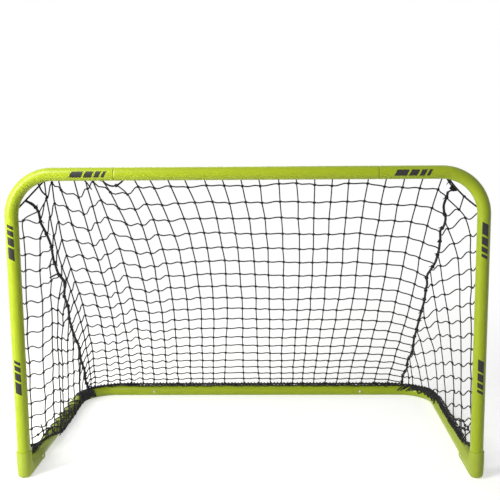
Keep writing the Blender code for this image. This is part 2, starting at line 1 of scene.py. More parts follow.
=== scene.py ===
# %% [markdown]
# # A mini soccer goal in Blender
# The real goal is a frame of painted steel tubes that push into each other, with two moulded plastic
# elbows as feet and a knotted net of black cord. The solids of the frame are loaded first, and
# every piece below is laid over them in the same metres, so nothing has to be fitted by eye.

# %% Load the frame
import math

import bpy
import numpy as np
from mathutils import Matrix, Vector


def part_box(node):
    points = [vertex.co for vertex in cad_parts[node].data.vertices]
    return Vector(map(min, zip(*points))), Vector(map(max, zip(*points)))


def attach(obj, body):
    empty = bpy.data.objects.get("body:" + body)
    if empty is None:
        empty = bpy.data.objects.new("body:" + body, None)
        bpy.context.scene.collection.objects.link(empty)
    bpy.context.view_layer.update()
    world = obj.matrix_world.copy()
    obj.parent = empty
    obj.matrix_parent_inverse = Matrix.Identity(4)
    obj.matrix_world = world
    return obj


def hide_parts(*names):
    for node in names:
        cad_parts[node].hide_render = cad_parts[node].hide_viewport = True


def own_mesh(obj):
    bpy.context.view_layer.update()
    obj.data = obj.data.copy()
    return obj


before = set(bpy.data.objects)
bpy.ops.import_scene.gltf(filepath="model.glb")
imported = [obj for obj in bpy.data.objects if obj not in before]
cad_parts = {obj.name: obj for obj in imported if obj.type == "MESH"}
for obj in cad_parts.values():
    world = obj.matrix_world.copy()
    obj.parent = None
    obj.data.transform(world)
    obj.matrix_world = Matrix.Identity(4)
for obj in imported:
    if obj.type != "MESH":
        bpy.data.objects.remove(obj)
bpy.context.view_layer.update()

# %% [markdown]
# The sizes of the frame are repeated here in metres. X runs along the crossbar, Y from the goal mouth to
# the rear bar, and Z up from the floor.

# %% Sizes of the frame
TUBE_RADIUS = 0.0165
TUBE_WALL = 0.0012
BEND_RADIUS = 0.106
POST_X = 0.5835
POST_Y = -0.30865
REAR_Y = 0.31135
BAR_Z = 0.7835
HEEL_Z = 0.0186  # axis of the base tubes at the posts, a little higher than at the rear
REAR_Z = 0.0165
JOINT_X = 0.325  # where the middle tubes meet the corner tubes
AXIS_DEPTH = REAR_Y - POST_Y
ELBOW_RADIUS = 0.0192
ELBOW_BORE = 0.0168
ELBOW_HEIGHT = 0.070
ELBOW_REACH = 0.108
BASE_TUBE_START = 0.055  # behind the post's axis, inside the elbow
SIDES = ((-1, "left"), (1, "right"))
GROUND_DIRECTION = np.array([0.0, AXIS_DEPTH, REAR_Z - HEEL_Z])
GROUND_DIRECTION /= np.linalg.norm(GROUND_DIRECTION)


def ground_point(side, reach):
    """Point on a base tube's straight axis, at a distance behind the post."""
    return np.array([side * POST_X, POST_Y, HEEL_Z]) + GROUND_DIRECTION * reach


print("left base tube starts at", ground_point(-1, BASE_TUBE_START).round(4))

# %% [markdown]
# The camera stands in front of the goal, a little right of its middle and just above the crossbar, and
# looks 7.9 degrees down. Its place was worked out from the straight tubes in the photograph. The picture
# is cropped off centre, which the lens shift repeats.

# %% Camera
CAMERA_PLACE = (0.0851, -2.175, 0.8826)
CAMERA_PITCH = math.radians(7.883)
CAMERA_YAW = math.radians(0.947)
CAMERA_ROLL = math.radians(0.391)
LENS = 54.80
SENSOR = 36.0
LENS_SHIFT = (-0.0376, -0.0249)

yaw = Matrix.Rotation(CAMERA_YAW, 3, "Z")
pitch = Matrix.Rotation(-CAMERA_PITCH, 3, "X")
roll = Matrix.Rotation(CAMERA_ROLL, 3, "Y")
turn = yaw @ pitch @ roll
right, ahead, up = (turn.col[k] for k in range(3))
axes = Matrix((right, up, -ahead)).transposed()
lens = bpy.data.cameras.new("camera")
lens.sensor_width = SENSOR
lens.lens = LENS
lens.shift_x, lens.shift_y = LENS_SHIFT
camera = bpy.data.objects.new("camera", lens)
camera.matrix_world = Matrix.Translation(CAMERA_PLACE) @ axes.to_4x4()
bpy.context.scene.collection.objects.link(camera)
bpy.context.scene.camera = camera
print("camera looks", [round(x, 3) for x in ahead])

# %% [markdown]
# Colours are written as the hex values of a picture. The renderer wants light, not picture values, so one
# function turns them to linear. A second function adds a shader node with its settings and its inputs,
# and links an input when it is given another node's socket. The mix node gives its colour sockets the same
# names as its number sockets, so they are picked by their place in the node.

# %% Helpers for colours and nodes
FIRST_COLOUR = 6
SECOND_COLOUR = 7
MIXED_COLOUR = 2


def linear(hex_colour):
    """Linear RGBA of a six digit sRGB hex colour, by the sRGB curve."""
    values = [int(hex_colour[k : k + 2], 16) / 255 for k in (0, 2, 4)]
    light = [v / 12.92 if v <= 0.04045 else ((v + 0.055) / 1.055) ** 2.4 for v in values]
    return (*light, 1.0)


def add(tree, kind, settings=None, inputs=None):
    """New node in the tree. An input may be a value or another node's output."""
    node = tree.nodes.new(kind)
    for name, value in (settings or {}).items():
        setattr(node, name, value)
    for name, value in (inputs or {}).items():
        if isinstance(value, bpy.types.NodeSocket):
            tree.links.new(value, node.inputs[name])
        else:
            node.inputs[name].default_value = value
    return node


def new_material(name):
    """Empty node material with its output and its main shader."""
    material = bpy.data.materials.new(name)
    material.use_nodes = True
    tree = material.node_tree
    tree.nodes.clear()
    shader = add(tree, "ShaderNodeBsdfPrincipled")
    add(tree, "ShaderNodeOutputMaterial", inputs={"Surface": shader.outputs["BSDF"]})
    return material, tree, shader


print("lime in light values", [round(x, 3) for x in linear("B4D22C")])

# %% [markdown]
# The goal stands on a plain white studio floor. The photograph's light comes from the left: the left post
# and the left end of the crossbar are bright, and the right edges of both posts are dark. One round lamp
# close to the left post and one above it give that. A third lamp behind the goal lights the far side of the
# net, and a very weak one at the right keeps the shaded edges green. A picture of a studio could light the
# goal as well, but lamps can be moved one by one until each shadow falls as in the photograph.
# For the camera alone the floor and the sky are white. Near the goal the floor still takes the shadow, and
# further out it fades to plain white, so that no horizon shows.

# %% Studio
FLOOR_HALF = 8.0
FLOOR_Z = -0.0003  # just under the soles, so that they don't share its plane


def area_lamp(name, place, aim, size, power, colour):
    """Round lamp turned to a point, with its width in metres and its power in watts."""
    data = bpy.data.lights.new(name, "AREA")
    data.shape = "DISK"
    data.size = size
    data.energy = power
    data.color = linear(colour)[:3]
    lamp = bpy.data.objects.new(name, data)
    lamp.location = place
    lamp.rotation_mode = "QUATERNION"
    lamp.rotation_quaternion = (Vector(aim) - Vector(place)).to_track_quat("-Z", "Y")
    bpy.context.scene.collection.objects.link(lamp)


area_lamp("side_lamp", (-2.1, -1.6, 1.1), (-1.2, 0.6, 0.4), 1.0, 46, "FFFCF4")
area_lamp("top_lamp", (-1.5, -1.4, 2.1), (-0.9, 0.1, 0.4), 1.2, 34, "FFFCF4")
area_lamp("fill_lamp", (2.6, -2.4, 1.6), (0.0, 0.0, 0.35), 2.0, 1, "F4F7FF")
area_lamp("back_lamp", (-0.6, 2.6, 2.4), (0.0, 0.0, 0.35), 1.8, 16, "FFFFFF")

corners = [(-1, -1), (1, -1), (1, 1), (-1, 1)]
floor_mesh = bpy.data.meshes.new("floor")
floor_mesh.from_pydata([(x * FLOOR_HALF, y * FLOOR_HALF, FLOOR_Z) for x, y in corners], [], [(0, 1, 2, 3)])
floor = bpy.data.objects.new("floor", floor_mesh)
bpy.context.scene.collection.objects.link(floor)

FADE_START = 1.0  # distance from the goal's middle where the floor starts to fade
FADE_END = 2.2
FLOOR_GLOW = 0.56
SKY_LIGHT = 0.15


def sees_white(tree):
    """1 for rays that show the background: those of the camera, of gloss and of clear things."""
    path = add(tree, "ShaderNodeLightPath")
    direct = add(
        tree,
        "ShaderNodeMath",
        {"operation": "MAXIMUM"},
        {0: path.outputs["Is Camera Ray"], 1: path.outputs["Is Transmission Ray"]},
    )
    background = add(
        tree,
        "ShaderNodeMath",
        {"operation": "MAXIMUM"},
        {0: direct.outputs[0], 1: path.outputs["Is Glossy Ray"]},
    )
    return background.outputs[0]


paper, tree, shader = new_material("white_studio_floor")
shader.inputs["Base Color"].default_value = linear("F2F2F2")
shader.inputs["Roughness"].default_value = 0.9
glow = add(tree, "ShaderNodeEmission", inputs={"Color": (1, 1, 1, 1), "Strength": FLOOR_GLOW})
near = add(tree, "ShaderNodeAddShader", inputs={0: shader.outputs["BSDF"], 1: glow.outputs["Emission"]})
far = add(tree, "ShaderNodeEmission", inputs={"Color": (1, 1, 1, 1), "Strength": 1.0})
place = add(tree, "ShaderNodeTexCoord")
away = add(tree, "ShaderNodeVectorMath", {"operation": "LENGTH"}, {0: place.outputs["Object"]})
fade = add(
    tree,
    "ShaderNodeMapRange",
    {"interpolation_type": "SMOOTHSTEP"},
    {"Value": away.outputs["Value"], "From Min": FADE_START, "From Max": FADE_END},
)
seen = add(
    tree,
    "ShaderNodeMixShader",
    inputs={"Fac": fade.outputs["Result"], 1: near.outputs[0], 2: far.outputs[0]},
)
choose = add(
    tree,
    "ShaderNodeMixShader",
    inputs={"Fac": sees_white(tree), 1: shader.outputs["BSDF"], 2: seen.outputs[0]},
)
output = next(n for n in tree.nodes if n.type == "OUTPUT_MATERIAL")
tree.links.new(choose.outputs["Shader"], output.inputs["Surface"])
floor_mesh.materials.append(paper)

world = bpy.data.worlds.new("studio_sky")
world.use_nodes = True
sky = world.node_tree
sky.nodes.clear()
dim = add(sky, "ShaderNodeBackground", inputs={"Color": linear("F4F6FA"), "Strength": SKY_LIGHT})
white = add(sky, "ShaderNodeBackground", inputs={"Color": (1, 1, 1, 1), "Strength": 1.0})
mix = add(sky, "ShaderNodeMixShader", inputs={"Fac": sees_white(sky)})
sky.links.new(dim.outputs[0], mix.inputs[1])
sky.links.new(white.outputs[0], mix.inputs[2])
add(sky, "ShaderNodeOutputWorld", inputs={"Surface": mix.outputs[0]})
bpy.context.scene.world = world
bpy.context.scene.view_settings.view_transform = "Standard"

# %% [markdown]
# The tubes are steel with a lime polyester powder coat: sprayed on dry and baked, so it is smooth and half
# glossy, with the faint orange peel of a skin that flowed in the oven. The peel's waves are about 2 mm
# apart. Handling leaves it a little duller in places, which the roughness noise gives. A painted picture
# could do this too, but noise in the piece's own space needs no unwrapping and has no seam round a bend.

# %% Powder coat
LIME = "B7CB18"
LIME_DEEP = "A9BF10"
PEEL_WAVE = 0.002

coat, tree, shader = new_material("lime_polyester_powder_coat")
place = add(tree, "ShaderNodeTexCoord")
cloud = add(
    tree, "ShaderNodeTexNoise", inputs={"Vector": place.outputs["Object"], "Scale": 9.0, "Detail": 3.0}
)
tone = add(
    tree,
    "ShaderNodeMix",
    {"data_type": "RGBA"},
    {"Factor": cloud.outputs["Fac"], FIRST_COLOUR: linear(LIME_DEEP), SECOND_COLOUR: linear(LIME)},
)
handled = add(
    tree, "ShaderNodeTexNoise", inputs={"Vector": place.outputs["Object"], "Scale": 38.0, "Detail": 5.0}
)
dull = add(
    tree,
    "ShaderNodeMapRange",
    inputs={
        "Value": handled.outputs["Fac"],
        "From Min": 0.35,
        "From Max": 0.7,
        "To Min": 0.30,
        "To Max": 0.42,
    },
)
peel = add(
    tree,
    "ShaderNodeTexNoise",
    inputs={"Vector": place.outputs["Object"], "Scale": 1 / PEEL_WAVE, "Detail": 1.0},
)
bump = add(
    tree, "ShaderNodeBump", inputs={"Height": peel.outputs["Fac"], "Strength": 0.05, "Distance": 0.0004}
)
tree.links.new(tone.outputs[MIXED_COLOUR], shader.inputs["Base Color"])
tree.links.new(dull.outputs["Result"], shader.inputs["Roughness"])
tree.links.new(bump.outputs["Normal"], shader.inputs["Normal"])
shader.inputs["IOR"].default_value = 1.50
print("powder coat peel scale", 1 / PEEL_WAVE)

# %% [markdown]
# The elbows are injection moulded polypropylene in the same lime. The plastic is a touch paler and more
# matt than the coat, because the mould is spark eroded: its skin is a fine pebble of about 0.6 mm, drawn
# here at 1.2 mm so that it still shows.

# %% Moulded plastic
PLASTIC_LIME = "B8CA45"
PLASTIC_LIME_DEEP = "AABD30"
PEBBLE = 0.0012

plastic, tree, shader = new_material("lime_moulded_polypropylene")
place = add(tree, "ShaderNodeTexCoord")
cloud = add(
    tree, "ShaderNodeTexNoise", inputs={"Vector": place.outputs["Object"], "Scale": 22.0, "Detail": 4.0}
)
tone = add(
    tree,
    "ShaderNodeMix",
    {"data_type": "RGBA"},
    {
        "Factor": cloud.outputs["Fac"],
        FIRST_COLOUR: linear(PLASTIC_LIME_DEEP),
        SECOND_COLOUR: linear(PLASTIC_LIME),
    },
)
pebbles = add(
    tree,
    "ShaderNodeTexNoise",
    inputs={"Vector": place.outputs["Object"], "Scale": 1 / PEBBLE, "Detail": 2.0},
)
bump = add(
    tree, "ShaderNodeBump", inputs={"Height": pebbles.outputs["Fac"], "Strength": 0.12, "Distance": 0.0003}
)
dull = add(
    tree,
    "ShaderNodeMapRange",
    inputs={"Value": cloud.outputs["Fac"], "To Min": 0.44, "To Max": 0.58},
)
tree.links.new(tone.outputs[MIXED_COLOUR], shader.inputs["Base Color"])
tree.links.new(dull.outputs["Result"], shader.inputs["Roughness"])
tree.links.new(bump.outputs["Normal"], shader.inputs["Normal"])
shader.inputs["IOR"].default_value = 1.49
print("plastic pebble scale", round(1 / PEBBLE))

# %% [markdown]
# Three small finishes follow. The buttons and springs are zinc plated steel, a bright grey metal with fine
# drawing marks. The hooks are black polyamide, smooth with a soft shine. The stripes on the tubes are
# screen printed ink, nearly black and a little worn. All three are even but for small specks, so one
# function makes them, and a speck is given by its size: about 1 mm on zinc, 2 mm on polyamide and 3 mm on
# the ink. Real drawing marks are finer than that and wouldn't show.

# %% Zinc, polyamide and ink


def speckled(name, low, high, scale, rough_low, rough_high, metallic, bump_strength):
    """Material with a two tone noise for its colour, roughness and relief."""
    material, tree, shader = new_material(name)
    place = add(tree, "ShaderNodeTexCoord")
    noise = add(
        tree, "ShaderNodeTexNoise", inputs={"Vector": place.outputs["Object"], "Scale": scale, "Detail": 5.0}
    )
    tone = add(
        tree,
        "ShaderNodeMix",
        {"data_type": "RGBA"},
        {"Factor": noise.outputs["Fac"], FIRST_COLOUR: linear(low), SECOND_COLOUR: linear(high)},
    )
    rough = add(
        tree,
        "ShaderNodeMapRange",
        inputs={"Value": noise.outputs["Fac"], "To Min": rough_low, "To Max": rough_high},
    )
    bump = add(
        tree,
        "ShaderNodeBump",
        inputs={"Height": noise.outputs["Fac"], "Strength": bump_strength, "Distance": 0.0002},
    )
    tree.links.new(tone.outputs[MIXED_COLOUR], shader.inputs["Base Color"])
    tree.links.new(rough.outputs["Result"], shader.inputs["Roughness"])
    tree.links.new(bump.outputs["Normal"], shader.inputs["Normal"])
    shader.inputs["Metallic"].default_value = metallic
    return material


zinc = speckled("zinc_plated_spring_steel", "B9BAB6", "D6D6D0", 900.0, 0.22, 0.38, 1.0, 0.15)
polyamide = speckled("black_polyamide", "141415", "1E1E20", 500.0, 0.38, 0.52, 0.0, 0.2)
ink = speckled("black_printing_ink", "10110E", "20221A", 300.0, 0.42, 0.60, 0.0, 0.3)
print("small finishes:", zinc.name, polyamide.name, ink.name)

# %% [markdown]
# Net cord and ropes are black polyethylene. The net cord is braided from fine flat threads and the ropes
# are laid from three strands. To model each thread would take far too many faces, so the threads are in the
# material, as streaks that run slantwise round the cord. For that it reads the cord's own length and turn,
# which the mesh code below writes as UV. A thread of the braid is about 0.5 mm wide; it is drawn at 1.6 mm
# along the cord. The streaks are painted shade in the grooves between the threads and a painted highlight on
# their crests, broken up by a random fibre tone.

# %% Black twine


def twine(name, dark, light, pitch, turns, bump_strength):
    """Cord material: slanting streaks along a UV that holds length in metres and the turn round it."""
    material, tree, shader = new_material(name)
    route = add(tree, "ShaderNodeUVMap", {"uv_map": "cord"})
    parts = add(tree, "ShaderNodeSeparateXYZ", inputs={"Vector": route.outputs["UV"]})
    along = add(tree, "ShaderNodeMath", {"operation": "MULTIPLY"}, {0: parts.outputs["X"], 1: 1 / pitch})
    around = add(tree, "ShaderNodeMath", {"operation": "MULTIPLY"}, {0: parts.outputs["Y"], 1: turns})
    slant = add(tree, "ShaderNodeMath", {"operation": "ADD"}, {0: along.outputs[0], 1: around.outputs[0]})
    phase = add(tree, "ShaderNodeMath", {"operation": "MULTIPLY"}, {0: slant.outputs[0], 1: 2 * math.pi})
    wave = add(tree, "ShaderNodeMath", {"operation": "SINE"}, {0: phase.outputs[0]})
    streak = add(
        tree,
        "ShaderNodeMapRange",
        inputs={"Value": wave.outputs[0], "From Min": -1.0, "To Min": 0.0, "To Max": 1.0},
    )
    place = add(tree, "ShaderNodeTexCoord")
    fibre = add(
        tree, "ShaderNodeTexNoise", inputs={"Vector": place.outputs["Object"], "Scale": 700.0, "Detail": 3.0}
    )
    blend = add(
        tree,
        "ShaderNodeMath",
        {"operation": "MULTIPLY"},
        {0: streak.outputs["Result"], 1: fibre.outputs["Fac"]},
    )
    # darker in the grooves between the threads and lighter on their crests: painted shade and a painted
    # highlight, broken up by the random fibre noise
    tone = add(
        tree,
        "ShaderNodeMix",
        {"data_type": "RGBA"},
        {"Factor": blend.outputs[0], FIRST_COLOUR: linear(dark), SECOND_COLOUR: linear(light)},
    )
    bump = add(
        tree,
        "ShaderNodeBump",
        inputs={"Height": blend.outputs[0], "Strength": bump_strength, "Distance": 0.0003},
    )
    rough = add(
        tree, "ShaderNodeMapRange", inputs={"Value": fibre.outputs["Fac"], "To Min": 0.62, "To Max": 0.85}
    )
    tree.links.new(tone.outputs[MIXED_COLOUR], shader.inputs["Base Color"])
    tree.links.new(rough.outputs["Result"], shader.inputs["Roughness"])
    tree.links.new(bump.outputs["Normal"], shader.inputs["Normal"])
    shader.inputs["IOR"].default_value = 1.51
    return material


net_twine = twine("black_braided_polyethylene_cord", "0B0B0D", "2A2A30", 0.0016, 3, 0.5)
rope_twine = twine("black_laid_polyethylene_rope", "0B0B0D", "2C2C33", 0.0014, 6, 0.5)
print("twines:", net_twine.name, rope_twine.name)

# %% [markdown]
# All round pieces are swept along a path: a ring of points is carried along the line and turned as little
# as possible on the way. Curve objects with a bevel could do this too, but they can't be given a rope's
# turning section or a tube's rolled lip. One function makes the rings, one joins them, and one puts any
# number of such sweeps in one mesh and writes the UV.

# %% Sweeping along a path
ROPE_HOLLOW = 0.2  # depth of the hollows between a rope's strands, as a share of its radius


def unit(vector):
    """The vector at length 1."""
    return vector / np.linalg.norm(vector)


def lengths_along(path):
    """Distance of each point of a path from its start."""
    steps = np.linalg.norm(np.diff(path, axis=0), axis=1)
    return np.concatenate([[0.0], np.cumsum(steps)])


def carried_frames(path):
    """Tangent and two cross directions at each point of a path, turned as little as possible."""
    tangents = np.gradient(path, axis=0)
    tangents /= np.linalg.norm(tangents, axis=1)[:, None]
    helper = np.eye(3)[np.argmin(np.abs(tangents[0]))]
    normal = unit(np.cross(tangents[0], helper))
    firsts = []
    for tangent in tangents:
        normal = unit(normal - tangent * (normal @ tangent))
        firsts.append(normal)
    firsts = np.array(firsts)
    return tangents, firsts, np.cross(tangents, firsts)


def flowing(points, step):
    """Smooth curve through the points, with a point about every step."""
    points = np.asarray(points, float)
    ends = np.vstack([2 * points[0] - points[1], points, 2 * points[-1] - points[-2]])
    curve = []
    for k in range(len(points) - 1):
        a, b, c, d = ends[k : k + 4]
        count = max(1, int(math.ceil(np.linalg.norm(c - b) / step)))
        t = (np.arange(count) / count)[:, None]
        curve.append(
            0.5 * (2 * b + (c - a) * t + (2 * a - 5 * b + 4 * c - d) * t**2 + (3 * b - a - 3 * c + d) * t**3)
        )
    curve.append(points[-1:])
    return np.vstack(curve)


def skin(distances, sides, closed=False):
    """Faces and UV between rings that follow each other. A closed skin joins the last to the first."""
    faces = []
    uvs = []
    rings = len(distances)
    for k in range(rings if closed else rings - 1):
        beyond = (k + 1) % rings
        for j in range(sides):
            after = (j + 1) % sides
            faces.append((k * sides + j, k * sides + after, beyond * sides + after, beyond * sides + j))
            low = j / sides
            high = (j + 1) / sides
            uvs += [(distances[k], low), (distances[k], high)]
            uvs += [(distances[beyond], high), (distances[beyond], low)]
    return faces, uvs


def cord_parts(path, radius, sides, lobes=0, lay=1.0):
    """Points, faces and UV of one cord. With lobes, its section is a laid rope's and turns once a lay."""
    along = lengths_along(path)
    tangents, firsts, seconds = carried_frames(path)
    angles = np.arange(sides) / sides * 2 * math.pi
    radii = np.full(sides, radius)
    twist = np.zeros(len(path))
    if lobes:
        radii = radius * (1 - ROPE_HOLLOW * (1 - np.abs(np.cos(angles * lobes / 2))))
        twist = along / lay * 2 * math.pi
    turned = angles[None, :] + twist[:, None]
    points = (
        path[:, None, :]
        + firsts[:, None, :] * (np.cos(turned) * radii)[:, :, None]
        + seconds[:, None, :] * (np.sin(turned) * radii)[:, :, None]
    ).reshape(-1, 3)
    faces, uvs = skin(along, sides)
    last = (len(path) - 1) * sides
    faces.append(tuple(range(sides - 1, -1, -1)))
    faces.append(tuple(range(last, last + sides)))
    uvs += [(0.0, 0.0)] * (2 * sides)
    return points, faces, uvs


def mesh_object(name, parts, material, sharp=None):
    """One object from any number of (points, faces, UV) parts."""
    points = []
    faces = []
    uvs = []
    base = 0
    for some_points, some_faces, some_uvs in parts:
        points.append(some_points)
        faces += [tuple(base + index for index in face) for face in some_faces]
        uvs += some_uvs
        base += len(some_points)
    mesh = bpy.data.meshes.new(name)
    mesh.from_pydata(np.vstack(points).tolist(), [], faces)
    layer = mesh.uv_layers.new(name="cord")
    layer.data.foreach_set("uv", np.array(uvs, np.float32).ravel())
    mesh.materials.append(material)
    mesh.shade_smooth()
    if sharp:
        mesh.set_sharp_from_angle(angle=math.radians(sharp))
    thing = bpy.data.objects.new(name, mesh)
    bpy.context.scene.collection.objects.link(thing)
    return thing


bend = flowing([(0, 0, 0), (0.1, 0, 0), (0.2, 0.1, 0)], 0.01)
print("a flowing path through three places has", len(bend), "points")

# %% [markdown]
# A tube is a closed pipe: the outer skin, the rolled lip at each end and the bore. The path has the real
# bends, worked out as arcs, and the section is a list of distances along the path with a radius each. The
# button holes are the one thing that a sweep can't give, so they are cut with the boolean modifier.

# %% Pipes
PIPE_SIDES = 48
BEND_STEPS = 30
LIP = 0.0004  # rounding at a cut tube end
NEAR_END = 0.0020  # a ring here keeps the long faces from being shaded like the rounding
DRILL_SIDES = 28
SHARP_EDGE = 35  # degrees between two faces from which their edge is shaded sharp


def filleted(corners, radius, steps):
    """Straight runs joined by arcs of one radius."""
    points = [np.array(corners[0], float)]
    for before, corner, after in zip(corners, corners[1:], corners[2:]):
        arrive = unit(np.subtract(corner, before))
        leave = unit(np.subtract(after, corner))
        angle = math.acos(float(np.clip(arrive @ leave, -1, 1)))
        start = np.array(corner) - arrive * radius * math.tan(angle / 2)
        axis = unit(np.cross(arrive, leave))
        centre = start + np.cross(axis, arrive) * radius
        spoke = start - centre
        for k in range(steps + 1):
            a = angle * k / steps
            points.append(centre + spoke * math.cos(a) + np.cross(axis, spoke) * math.sin(a))
    points.append(np.array(corners[-1], float))
    return np.array(points)


def with_stops(path, stops):
    """The path with extra points at some distances along it, and the distances of all its points."""
    along = lengths_along(path)
    wanted = np.unique(np.round(np.concatenate([along, stops]), 7))
    filled = np.stack([np.interp(wanted, along, path[:, k]) for k in range(3)], axis=1)
    return filled, wanted


def pipe_parts(path, outer, inner, angles=None, ridge=0.0):
    """Closed pipe from two lists of (distance, radius). The ridge is a raised line on its two sides."""
    if angles is None:
        angles = np.arange(PIPE_SIDES) / PIPE_SIDES * 2 * math.pi
    stops = [distance for distance, radius in outer + inner]
    filled, along = with_stops(path, stops)
    tangents, firsts, seconds = carried_frames(filled)
    outer_radii = np.interp(along, [d for d, r in outer], [r for d, r in outer])
    inner_radii = np.interp(along, [d for d, r in inner], [r for d, r in inner])
    lift = np.where(np.isclose(np.sin(angles), 0, atol=1e-6), ridge, 0.0)
    spokes = firsts[:, None, :] * np.cos(angles)[:, None] + seconds[:, None, :] * np.sin(angles)[:, None]
    outer_rings = zip(filled, spokes, outer_radii)
    rows = [place + ring * (radius + lift)[:, None] for place, ring, radius in outer_rings]
    inside = [place + ring * radius for place, ring, radius in zip(filled, spokes, inner_radii)]
    rows += reversed(inside)
    faces, uvs = skin([*along, *reversed(along)], len(angles), closed=True)
    return np.vstack(rows), faces, uvs


def holed(thing, holes):
    """Drill round holes through one wall: (place, direction, radius, length) each."""
    cutters = []
    for place, direction, radius, length in holes:
        direction = unit(np.array(direction, float))
        start = np.array(place, float) + direction * TUBE_RADIUS * 0.5
        path = np.array([start, start + direction * length])
        cutters.append(mesh_object(thing.name + "_drill", [cord_parts(path, radius, DRILL_SIDES)], zinc))
    for cutter in cutters:
        cut = thing.modifiers.new("hole", "BOOLEAN")
        cut.operation = "DIFFERENCE"
        cut.solver = "EXACT"
        cut.object = cutter
    bpy.context.view_layer.update()
    evaluated = thing.evaluated_get(bpy.context.evaluated_depsgraph_get())
    mesh = bpy.data.meshes.new_from_object(evaluated)
    thing.modifiers.clear()
    own = thing.data.materials[0]
    thing.data = mesh
    mesh.materials.clear()
    mesh.materials.append(own)
    mesh.polygons.foreach_set("material_index", [0] * len(mesh.polygons))
    mesh.set_sharp_from_angle(angle=math.radians(SHARP_EDGE))
    for cutter in cutters:
        bpy.data.objects.remove(cutter)


def finish_piece(thing, slot_name, *nodes, body="frame"):
    """The piece rides on its body and stands for its CAD nodes."""
    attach(thing, body)
    if nodes:
        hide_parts(*nodes)
    return thing


print("pipes have", PIPE_SIDES, "sides and", BEND_STEPS, "steps in a bend")

# %% [markdown]
# Each corner tube is one bent length: post, top bend and a short level leg. It ends square at the joint,
# where the middle tube's drawn-in end goes in, so the joint shows as a fine dark ring. The ends are made as
# real ends, because a painted line would neither catch the light nor come apart. The hole of the snap
# button is beside the joint, on the side that faces into the goal.

# %% Posts and crossbar
BUTTON_HOLE = 0.0040
BUTTON_FROM_JOINT = 0.022
POST_FOOT = 0.044
SHOULDER = 0.0030  # length of the cone from the drawn-in end to the full tube
SWAGE_LENGTH = 0.058
BORE = TUBE_RADIUS - TUBE_WALL
PUSH_FIT = 0.0003  # play between a drawn-in end and the tube round it
SWAGE = BORE - PUSH_FIT
HOLE_LENGTH = 0.03
BUTTON_X = JOINT_X + BUTTON_FROM_JOINT


def bent_tube(name, corners, node, hole):
    """Painted tube with rounded ends and one button hole."""
    path = filleted(corners, BEND_RADIUS, BEND_STEPS)
    length = lengths_along(path)[-1]
    ends = [(0, TUBE_RADIUS - LIP), (LIP, TUBE_RADIUS), (NEAR_END, TUBE_RADIUS)]
    outer = ends + [(length - distance, radius) for distance, radius in reversed(ends)]
    thing = mesh_object(name, [pipe_parts(path, outer, [(0, BORE), (length, BORE)])], coat, sharp=SHARP_EDGE)
    holed(thing, [hole])
    finish_piece(thing, "lime_coat", node)


def middle_tube(name, y, z, node):
    """Painted tube with both ends drawn in, so that they push into the corner tubes."""
    end = JOINT_X + SWAGE_LENGTH
    path = np.array([(-end, y, z), (end, y, z)])
    s = SWAGE_LENGTH
    drawn_in = [
        (0, SWAGE),
        (s - NEAR_END, SWAGE),
        (s, SWAGE),
        (s + SHOULDER * 0.5, TUBE_RADIUS - SHOULDER * 0.25),
        (s + SHOULDER, TUBE_RADIUS),
        (s + SHOULDER + NEAR_END, TUBE_RADIUS),
    ]
    outer = drawn_in + [(2 * end - distance, radius) for distance, radius in reversed(drawn_in)]
    inner = [(d, r - TUBE_WALL) for d, r in outer]
    thing = mesh_object(name, [pipe_parts(path, outer, inner)], coat, sharp=SHARP_EDGE)
    finish_piece(thing, "lime_coat", node)


for side, word in SIDES:
    foot = (side * POST_X, POST_Y, POST_FOOT)
    corners = [foot, (side * POST_X, POST_Y, BAR_Z), (side * JOINT_X, POST_Y, BAR_Z)]
    hole = ((side * BUTTON_X, POST_Y, BAR_Z), (0, 1, 0), BUTTON_HOLE, HOLE_LENGTH)
    bent_tube(f"{word}_post_painted", corners, f"{word}_post", hole)
    foot = ground_point(side, BASE_TUBE_START)
    corners = [foot, (side * POST_X, REAR_Y, REAR_Z), (side * JOINT_X, REAR_Y, REAR_Z)]
    hole = ((side * BUTTON_X, REAR_Y, REAR_Z), (0, -1, 0), BUTTON_HOLE, HOLE_LENGTH)
    bent_tube(f"{word}_base_tube_painted", corners, f"{word}_base_tube", hole)
middle_tube("crossbar_painted", POST_Y, BAR_Z, "crossbar")
middle_tube("rear_bar_painted", REAR_Y, REAR_Z, "rear_bar")

# %% [markdown]
# A foot elbow is a hollow moulding with a socket for the post and a longer one for the base tube. Its wall
# is 2.4 mm thick, with rounded rims, and the rim of the long socket is a little wider. A fine raised line
# runs round it where the two halves of the mould met. It could be carved from blocks with booleans, but a
# bent pipe already has the sockets and rims, so it starts as one. Two short functions then push its points:
# the heel becomes squarer than a bend, and the section widens downwards to a broad flat sole.

# %% Foot elbows
ELBOW_BEND = 0.024
HEEL_ROUND = 0.014
SOLE_POWER = 3.2  # 2 would be a round section
ELBOW_STEPS = 20
HEEL_EASE = 0.6  # under 1, the push grows fast near the axis and slowly at the skin
RIM_ROUND = 0.0010
RIM_EDGE = 0.3  # where the rounding has its middle point, as a share of its size
RIM_FLARE = 0.0009
FLARE_LENGTH = 0.014
PARTING_RIDGE = 0.00025
PARTING_HALF_ANGLE = math.radians(1.3)
COLLAR_RADIUS = 0.0074
COLLAR_BORE = 0.0048
COLLAR_HEIGHT = 0.0010
COLLAR_SINK = 0.0017
POST_BUTTON_Z = 0.058
BASE_BUTTON_REACH = 0.086


